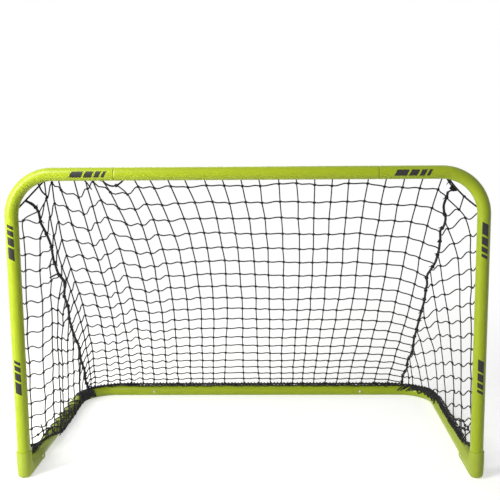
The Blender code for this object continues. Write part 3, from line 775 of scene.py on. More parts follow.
def turned_parts(profile, place, direction, sides):
    """Solid turned about a direction, from (radius, height) pairs that start and end on the axis."""
    direction = unit(np.array(direction, float))
    helper = np.eye(3)[np.argmin(np.abs(direction))]
    first = unit(np.cross(direction, helper))
    second = np.cross(direction, first)
    angles = np.arange(sides) / sides * 2 * math.pi
    spokes = first * np.cos(angles)[:, None] + second * np.sin(angles)[:, None]
    rings = [np.array(place) + direction * height + spokes * radius for radius, height in profile[1:-1]]
    top = np.array(place) + direction * profile[0][1]
    bottom = np.array(place) + direction * profile[-1][1]
    points = np.vstack([top[None, :], *rings, bottom[None, :]])
    last = len(points) - 1
    faces = []
    uvs = []
    for j in range(sides):
        after = (j + 1) % sides
        faces.append((0, 1 + j, 1 + after))
        uvs += [(0, 0), (0, 0), (0, 0)]
        for k in range(len(rings) - 1):
            low = 1 + k * sides
            high = 1 + (k + 1) * sides
            faces.append((low + j, high + j, high + after, low + after))
            uvs += [(0, 0)] * 4
        base = 1 + (len(rings) - 1) * sides
        faces.append((last, base + after, base + j))
        uvs += [(0, 0), (0, 0), (0, 0)]
    return points, faces, uvs


def squared_heel(points):
    """Push the outer side of the bend towards its corner, so that the heel is squarer than a bent pipe."""
    reach = ELBOW_BEND + ELBOW_RADIUS
    corner = reach - HEEL_ROUND
    for point in points:
        back = POST_Y + ELBOW_BEND - point[1]
        down = HEEL_Z + ELBOW_BEND - point[2]
        distance = math.hypot(back, down)
        if back <= 0 or down <= 0 or distance <= ELBOW_BEND:
            continue
        level = back / distance
        steep = down / distance
        if steep * reach <= corner * level:
            edge = reach / level
        elif level * reach <= corner * steep:
            edge = reach / steep
        else:
            lean = corner * (level + steep)
            edge = lean + math.sqrt(lean**2 - 2 * corner**2 + HEEL_ROUND**2)
        outwards = min(1.0, (distance - ELBOW_BEND) / ELBOW_RADIUS)
        push = (edge - reach) * outwards**HEEL_EASE
        point[1] -= push * level
        point[2] -= push * steep


def broad_sole(points):
    """Push the lower corners of the section outwards, so that the elbow stands on a broad flat sole."""
    for point in points:
        beside = point[0] - math.copysign(POST_X, point[0])
        below = HEEL_Z - point[2]
        distance = math.hypot(beside, below)
        if below > 0 and distance > 0:
            corner = abs(beside / distance) ** SOLE_POWER + (below / distance) ** SOLE_POWER
            push = corner ** (-1 / SOLE_POWER) - 1
            point[0] += beside * push
            point[2] -= below * push


def collar_parts(axis_point, outward):
    """Low round wall that the mould leaves round a button's hole."""
    outward = unit(np.array(outward, float))
    low = np.array(axis_point) + outward * (ELBOW_RADIUS - COLLAR_SINK)
    height = COLLAR_SINK + COLLAR_HEIGHT
    path = np.array([low, low + outward * height])
    outer = [(0, COLLAR_RADIUS), (height - LIP, COLLAR_RADIUS), (height, COLLAR_RADIUS - LIP)]
    return pipe_parts(path, outer, [(0, COLLAR_BORE), (height, COLLAR_BORE)])


def elbow(side, word):
    """One foot elbow with its two button holes and the collars round them."""
    rim_top = (side * POST_X, POST_Y, ELBOW_HEIGHT)
    heel = (side * POST_X, POST_Y, HEEL_Z)
    path = filleted([rim_top, heel, ground_point(side, ELBOW_REACH)], ELBOW_BEND, ELBOW_STEPS)
    length = lengths_along(path)[-1]
    outer = [
        (0, ELBOW_RADIUS - RIM_ROUND),
        (RIM_ROUND * RIM_EDGE, ELBOW_RADIUS - RIM_ROUND * RIM_EDGE),
        (RIM_ROUND, ELBOW_RADIUS),
        (length - FLARE_LENGTH, ELBOW_RADIUS),
        (length - FLARE_LENGTH * 0.5, ELBOW_RADIUS + RIM_FLARE * 0.7),
        (length - RIM_ROUND, ELBOW_RADIUS + RIM_FLARE),
        (length - RIM_ROUND * RIM_EDGE, ELBOW_RADIUS + RIM_FLARE - RIM_ROUND * RIM_EDGE),
        (length, ELBOW_RADIUS + RIM_FLARE - RIM_ROUND),
    ]
    even = np.arange(PIPE_SIDES) / PIPE_SIDES * 2 * math.pi
    beside = [PARTING_HALF_ANGLE, math.pi - PARTING_HALF_ANGLE, math.pi + PARTING_HALF_ANGLE]
    angles = np.sort(np.concatenate([even, beside, [2 * math.pi - PARTING_HALF_ANGLE]]))
    pipe = pipe_parts(path, outer, [(0, ELBOW_BORE), (length, ELBOW_BORE)], angles, PARTING_RIDGE)
    squared_heel(pipe[0])
    broad_sole(pipe[0][: len(pipe[0]) // 2])
    pipe[0][:, 2] = np.maximum(pipe[0][:, 2], 0.0)
    thing = mesh_object(f"{word}_foot_elbow_moulded", [pipe], plastic, sharp=SHARP_EDGE)
    buttons = [((side * POST_X, POST_Y, POST_BUTTON_Z), (0, 1, 0))]
    buttons.append((ground_point(side, BASE_BUTTON_REACH), (-side, 0, 0)))
    holed(thing, [(place, outward, BUTTON_HOLE, HOLE_LENGTH) for place, outward in buttons])
    collars = [collar_parts(place, outward) for place, outward in buttons]
    collar = mesh_object(f"{word}_foot_elbow_collars", collars, plastic, sharp=SHARP_EDGE)
    finish_piece(collar, "lime_plastic")
    return finish_piece(thing, "lime_plastic", f"{word}_foot_elbow")


for side, word in SIDES:
    made = elbow(side, word)
    print(made.name, "has", len(made.data.polygons), "faces")

# %% [markdown]
# The snap buttons are small steel domes with a flange that keeps them in the tube. A ball in a short
# cylinder would do from afar, but one profile turned with 32 sides gives dome, wall and flange in one piece
# with a soft edge. Each rides on its own body, so that it goes in when its joint is pressed. The spring
# behind it is a bent strip. It can't ride on the button, because its far arm stays on the tube's bore. So
# it is a copy of the solid's shape that stays with the frame.

# %% Snap buttons
BUTTON_RADIUS = 0.0037
FLANGE_RADIUS = 0.0048
FLANGE_THICKNESS = 0.0010
BUTTON_DOME = 0.0026  # how far the dome stands out of its hole
DOME_RISE = 0.6  # height of the dome's round part, as a share of the button's radius
DOME_ANGLES = (12, 26, 40, 54, 68, 80, 90)
BUTTON_SIDES = 32
SOFT_EDGE = 40  # degrees, for small turned pieces
SPRING_GAP = 0.0003
SWAGE_BORE = SWAGE - TUBE_WALL


def button_profile(bore, outside):
    """Radius and height pairs of a button, with its flange just inside a bore of that radius."""
    flange_top = math.sqrt(bore**2 - FLANGE_RADIUS**2) - SPRING_GAP
    top = outside + BUTTON_DOME
    rise = BUTTON_RADIUS * DOME_RISE
    dome = []
    for degrees in DOME_ANGLES:
        angle = math.radians(degrees)
        dome.append((BUTTON_RADIUS * math.sin(angle), top - rise * (1 - math.cos(angle))))
    low = flange_top - FLANGE_THICKNESS
    flange = [(BUTTON_RADIUS, flange_top), (FLANGE_RADIUS, flange_top), (FLANGE_RADIUS, low)]
    return [(0, top), *dome, *flange, (0, low)]


def bending_spring(place_name):
    """The spring behind a button. Its upper arm is just under the flange, its far arm on the bore."""
    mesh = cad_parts[f"{place_name}_spring"].data.copy()
    mesh.materials.clear()
    mesh.materials.append(zinc)
    spring = bpy.data.objects.new(f"{place_name}_spring_bent", mesh)
    bpy.context.scene.collection.objects.link(spring)
    finish_piece(spring, "zinc_steel", f"{place_name}_spring")
    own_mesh(spring)


def snap_button(place_name, axis_point, outward, bore, outside):
    """Button and spring of one joint."""
    parts = turned_parts(button_profile(bore, outside), axis_point, outward, BUTTON_SIDES)
    thing = mesh_object(f"{place_name}_button_turned", [parts], zinc, sharp=SOFT_EDGE)
    finish_piece(thing, "zinc_steel", f"{place_name}_button", body=f"{place_name}_button")
    bending_spring(place_name)


for side, word in SIDES:
    snap_button(f"crossbar_{word}", (side * BUTTON_X, POST_Y, BAR_Z), (0, 1, 0), SWAGE_BORE, TUBE_RADIUS)
    snap_button(f"rear_bar_{word}", (side * BUTTON_X, REAR_Y, REAR_Z), (0, -1, 0), SWAGE_BORE, TUBE_RADIUS)
    snap_button(f"post_{word}", (side * POST_X, POST_Y, POST_BUTTON_Z), (0, 1, 0), BORE, ELBOW_RADIUS)
    snap_button(f"base_{word}", ground_point(side, BASE_BUTTON_REACH), (-side, 0, 0), BORE, ELBOW_RADIUS)

# %% [markdown]
# The net hangs on small black studs that are pressed into holes on the hidden side of the tubes. Each has
# a flange against the tube, a neck for the rope and a flat head. A stud is round all over, so one list of
# radius and height pairs, with the heights counted from the tube's axis, gives the whole of it. Its soft
# edges catch the light.

# %% Net hooks
NECK_RADIUS = 0.0020
NECK_START = 0.0182
HEAD_START = NECK_START + 0.0056
STUD_SIDES = 24
BAR_COLUMNS = 16
CORNER_CUT = 0.100
BAR_HALF = POST_X - CORNER_CUT
TOP_PITCH = BAR_HALF * 2 / BAR_COLUMNS
HOOK_COLUMNS = (-7.5, -4.5, -1.5, 1.5, 4.5, 7.5)
HOOK_ROWS = (1.5, 4.5, 8.5)
ROPE_TOP = BAR_Z - CORNER_CUT
ROPE_LOW = 0.078
ROPE_ROWS = 10
ROW_PITCH = (ROPE_TOP - ROPE_LOW) / ROPE_ROWS
HOOK_PROFILE = [
    (0, HEAD_START + 0.0016),
    (0.0030, HEAD_START + 0.0014),
    (0.0038, HEAD_START + 0.0009),
    (0.0040, HEAD_START + 0.0004),
    (0.0037, HEAD_START),
    (0.0022, HEAD_START),
    (NECK_RADIUS, HEAD_START - 0.0003),
    (NECK_RADIUS, NECK_START + 0.0003),
    (0.0023, NECK_START),
    (0.0046, NECK_START),
    (0.0050, NECK_START - 0.0005),
    (0.0050, 0.0168),
    (0.0022, 0.0168),
    (0.0022, 0.0123),
    (0, 0.0123),
]


def net_hook(node, outward):
    """Stud over the CAD stud of that name, on the axis point of its tube."""
    low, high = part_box(node)
    middle = (np.array(low) + np.array(high)) / 2
    axis_point = middle.copy()
    if outward[1]:
        axis_point[1] = POST_Y
    else:
        axis_point[2] = REAR_Z
    parts = turned_parts(HOOK_PROFILE, axis_point, outward, STUD_SIDES)
    thing = mesh_object(f"{node}_stud", [parts], polyamide, sharp=SOFT_EDGE)
    finish_piece(thing, "black_plastic", node)


hook_nodes = [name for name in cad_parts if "_hook_" in name]
for name in hook_nodes:
    net_hook(name, (0, 0, 1) if name.startswith("rear_bar") else (0, 1, 0))
print("net hooks made:", len(hook_nodes))

# %% [markdown]
# The posts and the crossbar carry a plain printed speed stripe in six places: four slanting blocks that get
# shorter, 15 mm high and 86 mm long in all. A pattern in the paint's material would have to know each
# place, so each stripe is a piece of its own instead, of thin films of ink that follow the tube.

# %% Printed speed stripes
BLOCKS = (0.030, 0.020, 0.013, 0.008)
BLOCK_GAP = 0.005
BLOCK_HALF_ANGLE = math.radians(27)
BLOCK_SLANT = 0.004
INK_FILM = 0.00012
FILM_SINK = 0.0001  # the film starts just under the paint, so that no gap shows
BLOCK_COLUMNS = 8
BLOCK_ROWS = 10
CROSSBAR_STRIPES = {"left": -0.3865, "right": 0.4065}  # x of each one's middle
POST_STRIPES = {"high": 0.616, "low": 0.270}  # z of each one's middle


def block_parts(origin, along, outward, start, length):
    """Film of ink round a tube, from start to start plus length, with slanting ends."""
    across = np.cross(outward, along)
    points = []
    for radius in (TUBE_RADIUS + INK_FILM, TUBE_RADIUS - FILM_SINK):
        for r in range(BLOCK_ROWS + 1):
            share = r / BLOCK_ROWS * 2 - 1
            angle = share * BLOCK_HALF_ANGLE
            spoke = outward * math.cos(angle) + across * math.sin(angle)
            for c in range(BLOCK_COLUMNS + 1):
                at = start + length * c / BLOCK_COLUMNS + BLOCK_SLANT * share
                points.append(origin + along * at + spoke * radius)
    wide = BLOCK_COLUMNS + 1
    layer = (BLOCK_ROWS + 1) * wide
    faces = []
    for r in range(BLOCK_ROWS):
        for c in range(BLOCK_COLUMNS):
            a = r * wide + c
            b = a + wide
            faces.append((a, a + 1, b + 1, b))
            faces.append((layer + a, layer + b, layer + b + 1, layer + a + 1))
    edge = list(range(wide))
    edge += [(r + 1) * wide - 1 for r in range(1, BLOCK_ROWS + 1)]
    edge += [BLOCK_ROWS * wide + c for c in range(BLOCK_COLUMNS - 1, -1, -1)]
    edge += [r * wide for r in range(BLOCK_ROWS - 1, 0, -1)]
    for a, b in zip(edge, edge[1:] + edge[:1]):
        faces.append((a, layer + a, layer + b, b))
    uvs = [(0.0, 0.0)] * sum(len(face) for face in faces)
    return np.array(points), faces, uvs


def stripe(name, centre, along):
    """Row of blocks on the front of a tube, round its middle."""
    outward = np.array([0.0, -1.0, 0.0])
    total = sum(BLOCKS) + BLOCK_GAP * (len(BLOCKS) - 1)
    parts = []
    start = -total / 2
    for length in BLOCKS:
        parts.append(block_parts(np.array(centre), np.array(along, float), outward, start, length))
        start += length + BLOCK_GAP
    finish_piece(mesh_object(name, parts, ink, sharp=SOFT_EDGE), "lime_coat")


for word, x in CROSSBAR_STRIPES.items():
    stripe(f"stripe_crossbar_{word}", (x, POST_Y, BAR_Z), (1, 0, 0))
for side, word in SIDES:
    for height, z in POST_STRIPES.items():
        stripe(f"stripe_{word}_post_{height}", (side * POST_X, POST_Y, z), (0, 0, -side))

# %% [markdown]
# The net hangs on a border rope. Behind the crossbar and the posts the rope runs from hook to hook and
# bows where the net pulls it, and near the left end it dips below the crossbar. Across the rounded top
# corners it runs straight, but for a little slack in the right one. A simulated rope would hang by itself,
# but not in the places that the photograph shows, so each place on it is worked out from the hooks. The
# route is the solid's, with less bow on the posts and with the dip and the slack added.

# %% Route of the head rope
ROPE_RADIUS = 0.0020
NECK_GAP = 0.0003
ROPE_ON_NECK = NECK_RADIUS + ROPE_RADIUS + NECK_GAP
HOOK_NECK_MIDDLE = 0.0210
BAR_BOW = 0.008
POST_BOW = 0.009
DIP_START = -6.17  # in columns of the net, counted from the goal's middle
DIP_END = -4.75
DIP_DEPTH = 0.030
CORNER_SLACK = {-1: 0.0, 1: 0.008}


def bow(place, hooks, depth):
    """How far the rope hangs off the line of its hooks. It starts half a step beside each hook."""
    for low, high in zip(hooks, hooks[1:]):
        first = low + 0.5
        last = high - 0.5
        if first < place < last:
            return depth * math.sin(math.pi * (place - first) / (last - first))
    return 0.0


def bar_rope(column):
    """The rope on the hooks of the crossbar."""
    z = BAR_Z + ROPE_ON_NECK - bow(column, HOOK_COLUMNS, BAR_BOW)
    return np.array([column * TOP_PITCH, POST_Y + HOOK_NECK_MIDDLE, z])


def dipping_rope(column):
    """The same rope with the dip that shows below the crossbar near its left end."""
    share = (column - DIP_START) / (DIP_END - DIP_START)
    dip = DIP_DEPTH * math.sin(math.pi * min(1.0, max(0.0, share)))
    return bar_rope(column) - np.array([0, 0, dip])


def post_rope(side, row):
    """The rope on the hooks of a post, with the rows counted from its upper end."""
    x = POST_X + ROPE_ON_NECK - bow(row, HOOK_ROWS, POST_BOW)
    return np.array([side * x, POST_Y + HOOK_NECK_MIDDLE, ROPE_TOP - row * ROW_PITCH])


def corner_rope(side, share):
    """Across the rounded corner, from the post to the crossbar. The right one is a little slack."""
    low = post_rope(side, 0)
    high = bar_rope(side * BAR_COLUMNS / 2)
    slack = CORNER_SLACK[side] * math.sin(math.pi * min(1.0, max(0.0, share)))
    return low + (high - low) * share - np.array([side, 0, 1]) * slack * math.sqrt(0.5)


print("rope above the crossbar's middle at z", bar_rope(0)[2].round(4))

# %% [markdown]
# The border rope on the ground frame starts on the left elbow, lies low on the inner side of the left tube
# and on top of the right one, and passes behind the hooks of the rear bar. A place on it is given by its
# distance along the ground frame, an angle round the tube and a distance from the tube's axis, because that
# keeps it on the tube's skin through every bend.

# %% Route of the base rope
ROPE_START = 0.045
ROUTE_STEP = 0.016
ROUTE_BEND_STEPS = 16
ROPE_SEAT = 0.0007  # gap between the rope and what it lies on
ROPE_ON_TUBE = TUBE_RADIUS + ROPE_RADIUS + ROPE_SEAT
ROPE_ON_ELBOW = ELBOW_RADIUS + ROPE_RADIUS + ROPE_SEAT
LEFT_ROPE_ANGLE = math.radians(-40)
RIGHT_ROPE_ANGLE = math.radians(78)
TOP_ANGLE = math.radians(90)
# from where to where the rope changes its height or its angle: three times as distances behind the post,
# and for the hooks inward from the post
LEAVES_ELBOW = (ELBOW_REACH + 0.001, ELBOW_REACH + 0.030)
LEAVES_TOP = (ELBOW_REACH + 0.010, ELBOW_REACH + 0.220)
RETURNS_TO_TOP = (AXIS_DEPTH - 0.240, AXIS_DEPTH - 0.030)
REACHES_HOOKS = (BEND_RADIUS - 0.036, BEND_RADIUS + 0.030)


def smooth_step(value, low, high):
    """0 up to low, 1 from high on, and a soft rise between them."""
    share = min(1.0, max(0.0, (value - low) / (high - low)))
    return share * share * (3 - 2 * share)


def ground_route():
    """Centre line of the ground frame from the left foot to the right one."""
    corners = [
        ground_point(-1, ROPE_START),
        (-POST_X, REAR_Y, REAR_Z),
        (POST_X, REAR_Y, REAR_Z),
        ground_point(1, ROPE_START),
    ]
    coarse = filleted(corners, BEND_RADIUS, ROUTE_BEND_STEPS)
    route = []
    for first, last in zip(coarse, coarse[1:]):
        steps = max(1, round(float(np.linalg.norm(last - first)) / ROUTE_STEP))
        route += [first + (last - first) * k / steps for k in range(steps)]
    route.append(coarse[-1])
    return np.array(route)


ROUTE = ground_route()
ROUTE_LENGTHS = lengths_along(ROUTE)
ROUTE_LENGTH = ROUTE_LENGTHS[-1]
ROUTE_DIRECTIONS = np.gradient(ROUTE, axis=0)
ROUTE_DIRECTIONS /= np.linalg.norm(ROUTE_DIRECTIONS, axis=1)[:, None]
ROUTE_INWARD = np.cross(ROUTE_DIRECTIONS, (0, 0, 1))


def on_route(distance, values):
    """Points or directions of the route, read off at a distance along it."""
    return np.array([np.interp(distance, ROUTE_LENGTHS, values[:, k]) for k in range(3)])


def by_tube(distance, angle, radius):
    """Point beside the ground frame: angle 0 is its inner side and 90 degrees its top."""
    inward = unit(on_route(distance, ROUTE_INWARD))
    outward = inward * math.cos(angle) + np.array([0, 0, math.sin(angle)])
    return on_route(distance, ROUTE) + outward * radius


def base_rope_place(distance):
    """Angle and radius of the border rope round the ground frame."""
    point = on_route(distance, ROUTE)
    reach = point[1] - POST_Y
    side_angle = LEFT_ROPE_ANGLE if point[0] < 0 else RIGHT_ROPE_ANGLE
    past_elbow = smooth_step(reach, *LEAVES_TOP)
    near_rear = smooth_step(reach, *RETURNS_TO_TOP)
    on_bar = smooth_step(POST_X - abs(point[0]), *REACHES_HOOKS)
    angle = TOP_ANGLE + (side_angle - TOP_ANGLE) * past_elbow * (1 - near_rear)
    angle += math.atan2(ROPE_ON_NECK, HOOK_NECK_MIDDLE) * on_bar
    radius = ROPE_ON_ELBOW + (ROPE_ON_TUBE - ROPE_ON_ELBOW) * smooth_step(reach, *LEAVES_ELBOW)
    radius += (math.hypot(HOOK_NECK_MIDDLE, ROPE_ON_NECK) - ROPE_ON_TUBE) * on_bar
    return angle, radius


def base_rope(distance):
    """Point on the border rope's centre line."""
    angle, radius = base_rope_place(distance)
    return by_tube(distance, angle, radius)


print("ground frame's centre line is", round(ROUTE_LENGTH, 3), "m long")

# %% [markdown]
# The back net is one sheet of netting that hangs from the head rope to the base rope and sags a little. A
# place on it is given by a column, counted from the goal's middle, and a share of the way down. A cloth
# simulation could drape such a sheet, but a short formula gives the same sag and can be set against the
# photograph column by column. The two seams, where the side nets are laced on, wander as the lacing pulls
# them, so each has a short list of places measured on the photograph.

# %% The sagging back
BACK_SAG = 0.055
SAG_DIRECTION = np.array([0, -0.77, -0.64])
LEFT_COLUMN = -10  # about where the left seam is
RIGHT_COLUMN = 8  # and the right one
LEFT_PULL = 0.045  # how far the slack net falls inwards at the left seam
RIGHT_PULL = 0.012
LEFT_FOOT_X = -POST_X + 0.0165  # where the left seam reaches the ground frame
RIGHT_FOOT_X = POST_X - 0.0915
CORNER_ROPE = 1.475  # length of the rope across the left corner, over the corner's cut
OFF_ROPE = np.array([0, 0.7, 0.7]) * 0.0030  # the net lies this far behind and above its ropes


def route_distance_at(x):
    """Distance along the ground frame where its rear part reaches x."""
    rear = ROUTE[:, 1] > REAR_Y - BEND_RADIUS
    distances = ROUTE_LENGTHS[rear]
    xs = ROUTE[rear, 0]
    order = np.argsort(xs)
    return float(np.interp(x, xs[order], distances[order]))


LEFT_FOOT = route_distance_at(LEFT_FOOT_X)
RIGHT_FOOT = route_distance_at(RIGHT_FOOT_X)


def back_net(column, share):
    """Place on the back net. Left of the crossbar it hangs from the rope across the corner."""
    on_bar = column + BAR_COLUMNS / 2
    if on_bar >= 0:
        top = bar_rope(column)
    else:
        top = corner_rope(-1, 1 + on_bar * TOP_PITCH / (CORNER_CUT * CORNER_ROPE))
    along = (column - LEFT_COLUMN) / (RIGHT_COLUMN - LEFT_COLUMN)
    bottom = base_rope(LEFT_FOOT + (RIGHT_FOOT - LEFT_FOOT) * along)
    hang = 4 * share * (1 - share)
    pull = LEFT_PULL * column / LEFT_COLUMN if column < 0 else -RIGHT_PULL * column / RIGHT_COLUMN
    point = top + (bottom - top) * share + OFF_ROPE + SAG_DIRECTION * BACK_SAG * hang
    return point + np.array([pull * hang, 0, 0])


# for each place of a seam: the share of the way down, and the column
SEAMS = {
    -1: [
        (0.000, -9.70), (0.020, -9.50), (0.040, -9.36), (0.060, -9.32), (0.090, -9.43), (0.130, -9.37),
        (0.170, -9.37), (0.215, -9.53), (0.270, -9.58), (0.317, -9.40), (0.365, -9.72), (0.413, -9.70),
        (0.472, -9.92), (0.557, -9.97), (0.637, -9.87), (0.719, -10.01), (0.808, -9.94), (0.900, -10.02),
        (1.000, -9.90),
    ],
    1: [
        (0.067, 8.39), (0.090, 8.38), (0.099, 8.30), (0.126, 8.37), (0.148, 8.50),
        (0.171, 8.52), (0.190, 8.37), (0.216, 8.44), (0.258, 8.48), (0.304, 8.43), (0.358, 8.14),
        (0.391, 8.24), (0.413, 8.23), (0.466, 8.26), (0.528, 8.20), (0.602, 8.16), (0.665, 8.12),
        (0.701, 8.15), (0.746, 8.16), (0.806, 8.02), (0.863, 8.07), (0.918, 7.93), (1.000, 7.97),
    ],
}


def seam(side, share):
    """Place on a seam, at a share of the way down."""
    shares = [s for s, c in SEAMS[side]]
    columns = [c for s, c in SEAMS[side]]
    return back_net(float(np.interp(share, shares, columns)), share)


for side, word in SIDES:
    points = np.array([seam(side, k / 40) for k in range(41)])
    print(word, "seam is", round(lengths_along(points)[-1], 3), "m long")

# %% [markdown]
# The netting is knotted: each cord of one direction is tied round each cord of the other, with the knots
# about 45 mm apart. An even grid would be quicker, but a real net is nowhere even, so the knots were found
# on the photograph strand by strand. Each strand has its column at the crossbar, a third of the way down
# and at the rear bar, and how far its knots hang low or high, which makes the zigzag folds on the left
# where the net is bunched.

# %% Strands of the back net
# column at the top, a third of the way down and at the bottom, then how low the knots hang at the top and
# further down, as a share of the way
STRANDS = [
    (-8.50, -9.25, -9.68, 0.008, 0.018),
    (-8.10, -8.86, -9.42, -0.014, -0.003),
    (-7.84, -8.05, -8.68, 0.017, 0.037),
    (-7.20, -7.38, -8.01, 0.041, 0.051),
    (-6.72, -6.84, -7.34, 0.010, 0.030),
    (-6.50, -6.15, -6.69, -0.013, 0.003),
    (-6.00, -5.42, -6.08, 0.018, 0.020),
    (-5.38, -4.74, -5.36, 0.031, 0.025),
    (-4.80, -4.12, -4.70, 0.011, 0.011),
    (-4.20, -3.36, -3.98, 0.014, 0.006),
    (-3.36, -2.69, -3.29, 0.001, 0.000),
    (-2.66, -2.01, -2.70, 0.005, 0.005),
    (-1.86, -1.30, -2.05, 0.008, 0.004),
    (-1.12, -0.58, -0.95, 0.009, 0.002),
    (-0.30, 0.12, -0.10, 0.000, 0.000),
    (0.43, 0.77, 0.55, 0.004, 0.007),
    (1.25, 1.47, 1.17, 0.004, 0.011),
    (2.01, 2.20, 1.80, 0.003, 0.012),
    (2.79, 2.81, 2.35, 0.000, 0.005),
    (3.53, 3.46, 3.00, 0.003, 0.007),
    (4.26, 4.16, 3.64, 0.005, 0.014),
    (5.03, 4.86, 4.28, 0.005, 0.012),
    (5.79, 5.54, 4.96, 0.006, 0.011),
    (6.53, 6.22, 5.68, 0.010, 0.013),
    (7.34, 6.98, 6.42, 0.018, 0.028),
    (8.12, 7.68, 7.18, 0.024, 0.050),
]
ROWS = 19
FIRST_ROW = 0.036
ROW_SHARE = 0.0512
MIDDLE_SHARE = 0.30  # where a strand has its middle column
BOTTOM_SHARE = 1.05  # where it would have its bottom column, just past its end
FOLDS_FADE = 0.40  # from here down the folds fade
FOLDS_GONE = 0.75  # share of them that is gone at the end


def strand_column(strand, share):
    """Column of a strand at a share of the way down."""
    top, middle, bottom = strand[:3]
    if share < MIDDLE_SHARE:
        return middle + (top - middle) * (1 - share / MIDDLE_SHARE) ** 2
    return middle + (bottom - middle) * smooth_step(share, MIDDLE_SHARE, BOTTOM_SHARE)


def knot_share(strand, row):
    """How far down a strand its knot with a row is."""
    share = FIRST_ROW + ROW_SHARE * row
    low_top, low_middle = strand[3:]
    drop = low_top + (low_middle - low_top) * smooth_step(share, 0.0, MIDDLE_SHARE)
    fade = 1 - FOLDS_GONE * smooth_step(share, FOLDS_FADE, 1.0)
    return share + drop * fade


print("strands in the back net:", len(STRANDS), "rows:", ROWS)

# %% [markdown]
# The cords between the knots aren't straight. A cord that crosses from knot to knot leaves one a little
# low and reaches the next from above, in a lazy S, because the knots hold it at a slant. A knot could be a
# small ball, but up close it wouldn't look tied. So it is drawn as what it is, the crossing cord taken one
# and a half turns round the other. One seeded source of chance numbers serves all the small unevenness, so
# that the net is the same each time it is made.

# %% Cords and knots
CORD_RADIUS = 0.0017
CORD_SIDES = 6
CORD_STEP = 0.011
CORD_DOWN = np.array([0.0, 0.35, -0.94])  # the way that a slack cord hangs between its knots
LOW_PLACE = 0.30  # share of the way between two knots where the S is lowest
HIGH_PLACE = 0.72  # and where it is highest
HIGH_SHARE = 0.9  # its rise, as a share of its fall
FULL_WAVE_GAP = 0.035  # knots nearer than this have a flatter S between them
WAVE_CHANCE = (0.55, 1.25)
KNOT_RADIUS = 0.0014
KNOT_SIDES = 5
KNOT_TURNS = 1.6
KNOT_SPREAD = 0.0042
KNOT_STEPS = 10
KNOT_SEAT = 0.75  # under 1, the coil sinks a little into the cord inside it
RIGHTWARDS, REARWARDS, UPWARDS = np.eye(3)
ROPE_DRAWN = 0.0025  # the laid rope with its fluff, a little fuller than the smooth solid
dice = np.random.default_rng(26)


def cord(points):
    """One cord of the netting through the points."""
    return cord_parts(flowing(points, CORD_STEP), CORD_RADIUS, CORD_SIDES)


def crossing_points(knots, waves):
    """The knots with two points between each pair: a little low after one, a little high before the next."""
    points = [knots[0]]
    for start, end, wave in zip(knots, knots[1:], waves):
        gap = end - start
        depth = wave * min(1.0, float(np.linalg.norm(gap)) / FULL_WAVE_GAP) * dice.uniform(*WAVE_CHANCE)
        points.append(start + gap * LOW_PLACE + CORD_DOWN * depth)
        points.append(start + gap * HIGH_PLACE - CORD_DOWN * depth * HIGH_SHARE)
        points.append(end)
    return points


def knot(place, along, across, inside=CORD_RADIUS):
    """Short coil of the crossing cord round the other one, or round a rope of the radius inside."""
    along = unit(along)
    first = unit(across - along * (across @ along))
    second = np.cross(along, first)
    radius = inside + KNOT_RADIUS * KNOT_SEAT
    points = []
    for k in range(KNOT_STEPS + 1):
        share = k / KNOT_STEPS
        angle = KNOT_TURNS * 2 * math.pi * share
        lift = along * (share - 0.5) * KNOT_SPREAD
        points.append(place + lift + (first * math.cos(angle) + second * math.sin(angle)) * radius)
    return cord_parts(np.array(points), KNOT_RADIUS, KNOT_SIDES)


print("a knot has", KNOT_STEPS * KNOT_SIDES, "faces along its coil")

# %% [markdown]
# The places of all the knots come first, each moved a little by chance. The cords are then drawn through
# them, the upright ones from rope to rope and the crossing ones from seam to seam, so that cords and knots
# always meet. At the left, where the net is bunched, the crossing cords are wavier.

# %% The back net
LEVEL_WAVE = 0.0014  # depth of the S of a crossing cord
BUNCHED_WAVE = 0.0036  # more depth where the net is bunched
LAST_BUNCHED = 12  # strand, counted from the left, where that ends
BUNCHED_FADE = 8  # strands over which it fades
BUNCHED = [smooth_step(LAST_BUNCHED - k, 0, BUNCHED_FADE) for k in range(len(STRANDS) + 1)]
BACK_WAVES = [LEVEL_WAVE + BUNCHED_WAVE * share for share in BUNCHED]
JITTER_COLUMN = 0.022
JITTER_SHARE = 0.0016
LOWEST_KNOT = 0.992
LEFT_END_LOWER = 0.036  # how much lower a crossing cord ends on the left seam than on its last strand
RIGHT_END_LOWER = 0.022
LOWEST_END = 0.995

places = np.zeros((len(STRANDS), ROWS, 3))
for k, strand in enumerate(STRANDS):
    for row in range(ROWS):
        share = knot_share(strand, row) + dice.uniform(-1, 1) * JITTER_SHARE
        column = strand_column(strand, share) + dice.uniform(-1, 1) * JITTER_COLUMN
        places[k, row] = back_net(column, min(share, LOWEST_KNOT))

parts = []
for k, strand in enumerate(STRANDS):
    top = back_net(strand[0], 0.0) + dipping_rope(strand[0]) - bar_rope(strand[0])
    bottom = back_net(strand[2], 1.0)
    parts.append(cord([top, *places[k], bottom]))
for row in range(ROWS):
    left_share = min(knot_share(STRANDS[0], row) + LEFT_END_LOWER, LOWEST_END)
    right_share = min(knot_share(STRANDS[-1], row) + RIGHT_END_LOWER, LOWEST_END)
    row_knots = [seam(-1, left_share), *places[:, row], seam(1, right_share)]
    parts.append(cord(crossing_points(row_knots, BACK_WAVES)))
for k in range(len(STRANDS)):
    for row in range(ROWS):
        before = places[k, row - 1] if row else back_net(STRANDS[k][0], 0.0)
        along = places[k, row] - before
        beside = places[min(k + 1, len(STRANDS) - 1), row] - places[max(k - 1, 0), row]
        parts.append(knot(places[k, row], along, beside))
for strand in STRANDS:
    top = dipping_rope(strand[0]) if strand[0] > -BAR_COLUMNS / 2 else back_net(strand[0], 0.0)
    for end in (top, back_net(strand[2], 1.0)):
        parts.append(knot(end, RIGHTWARDS, UPWARDS, ROPE_DRAWN))
back = mesh_object("back_net_knotted", parts, net_twine)
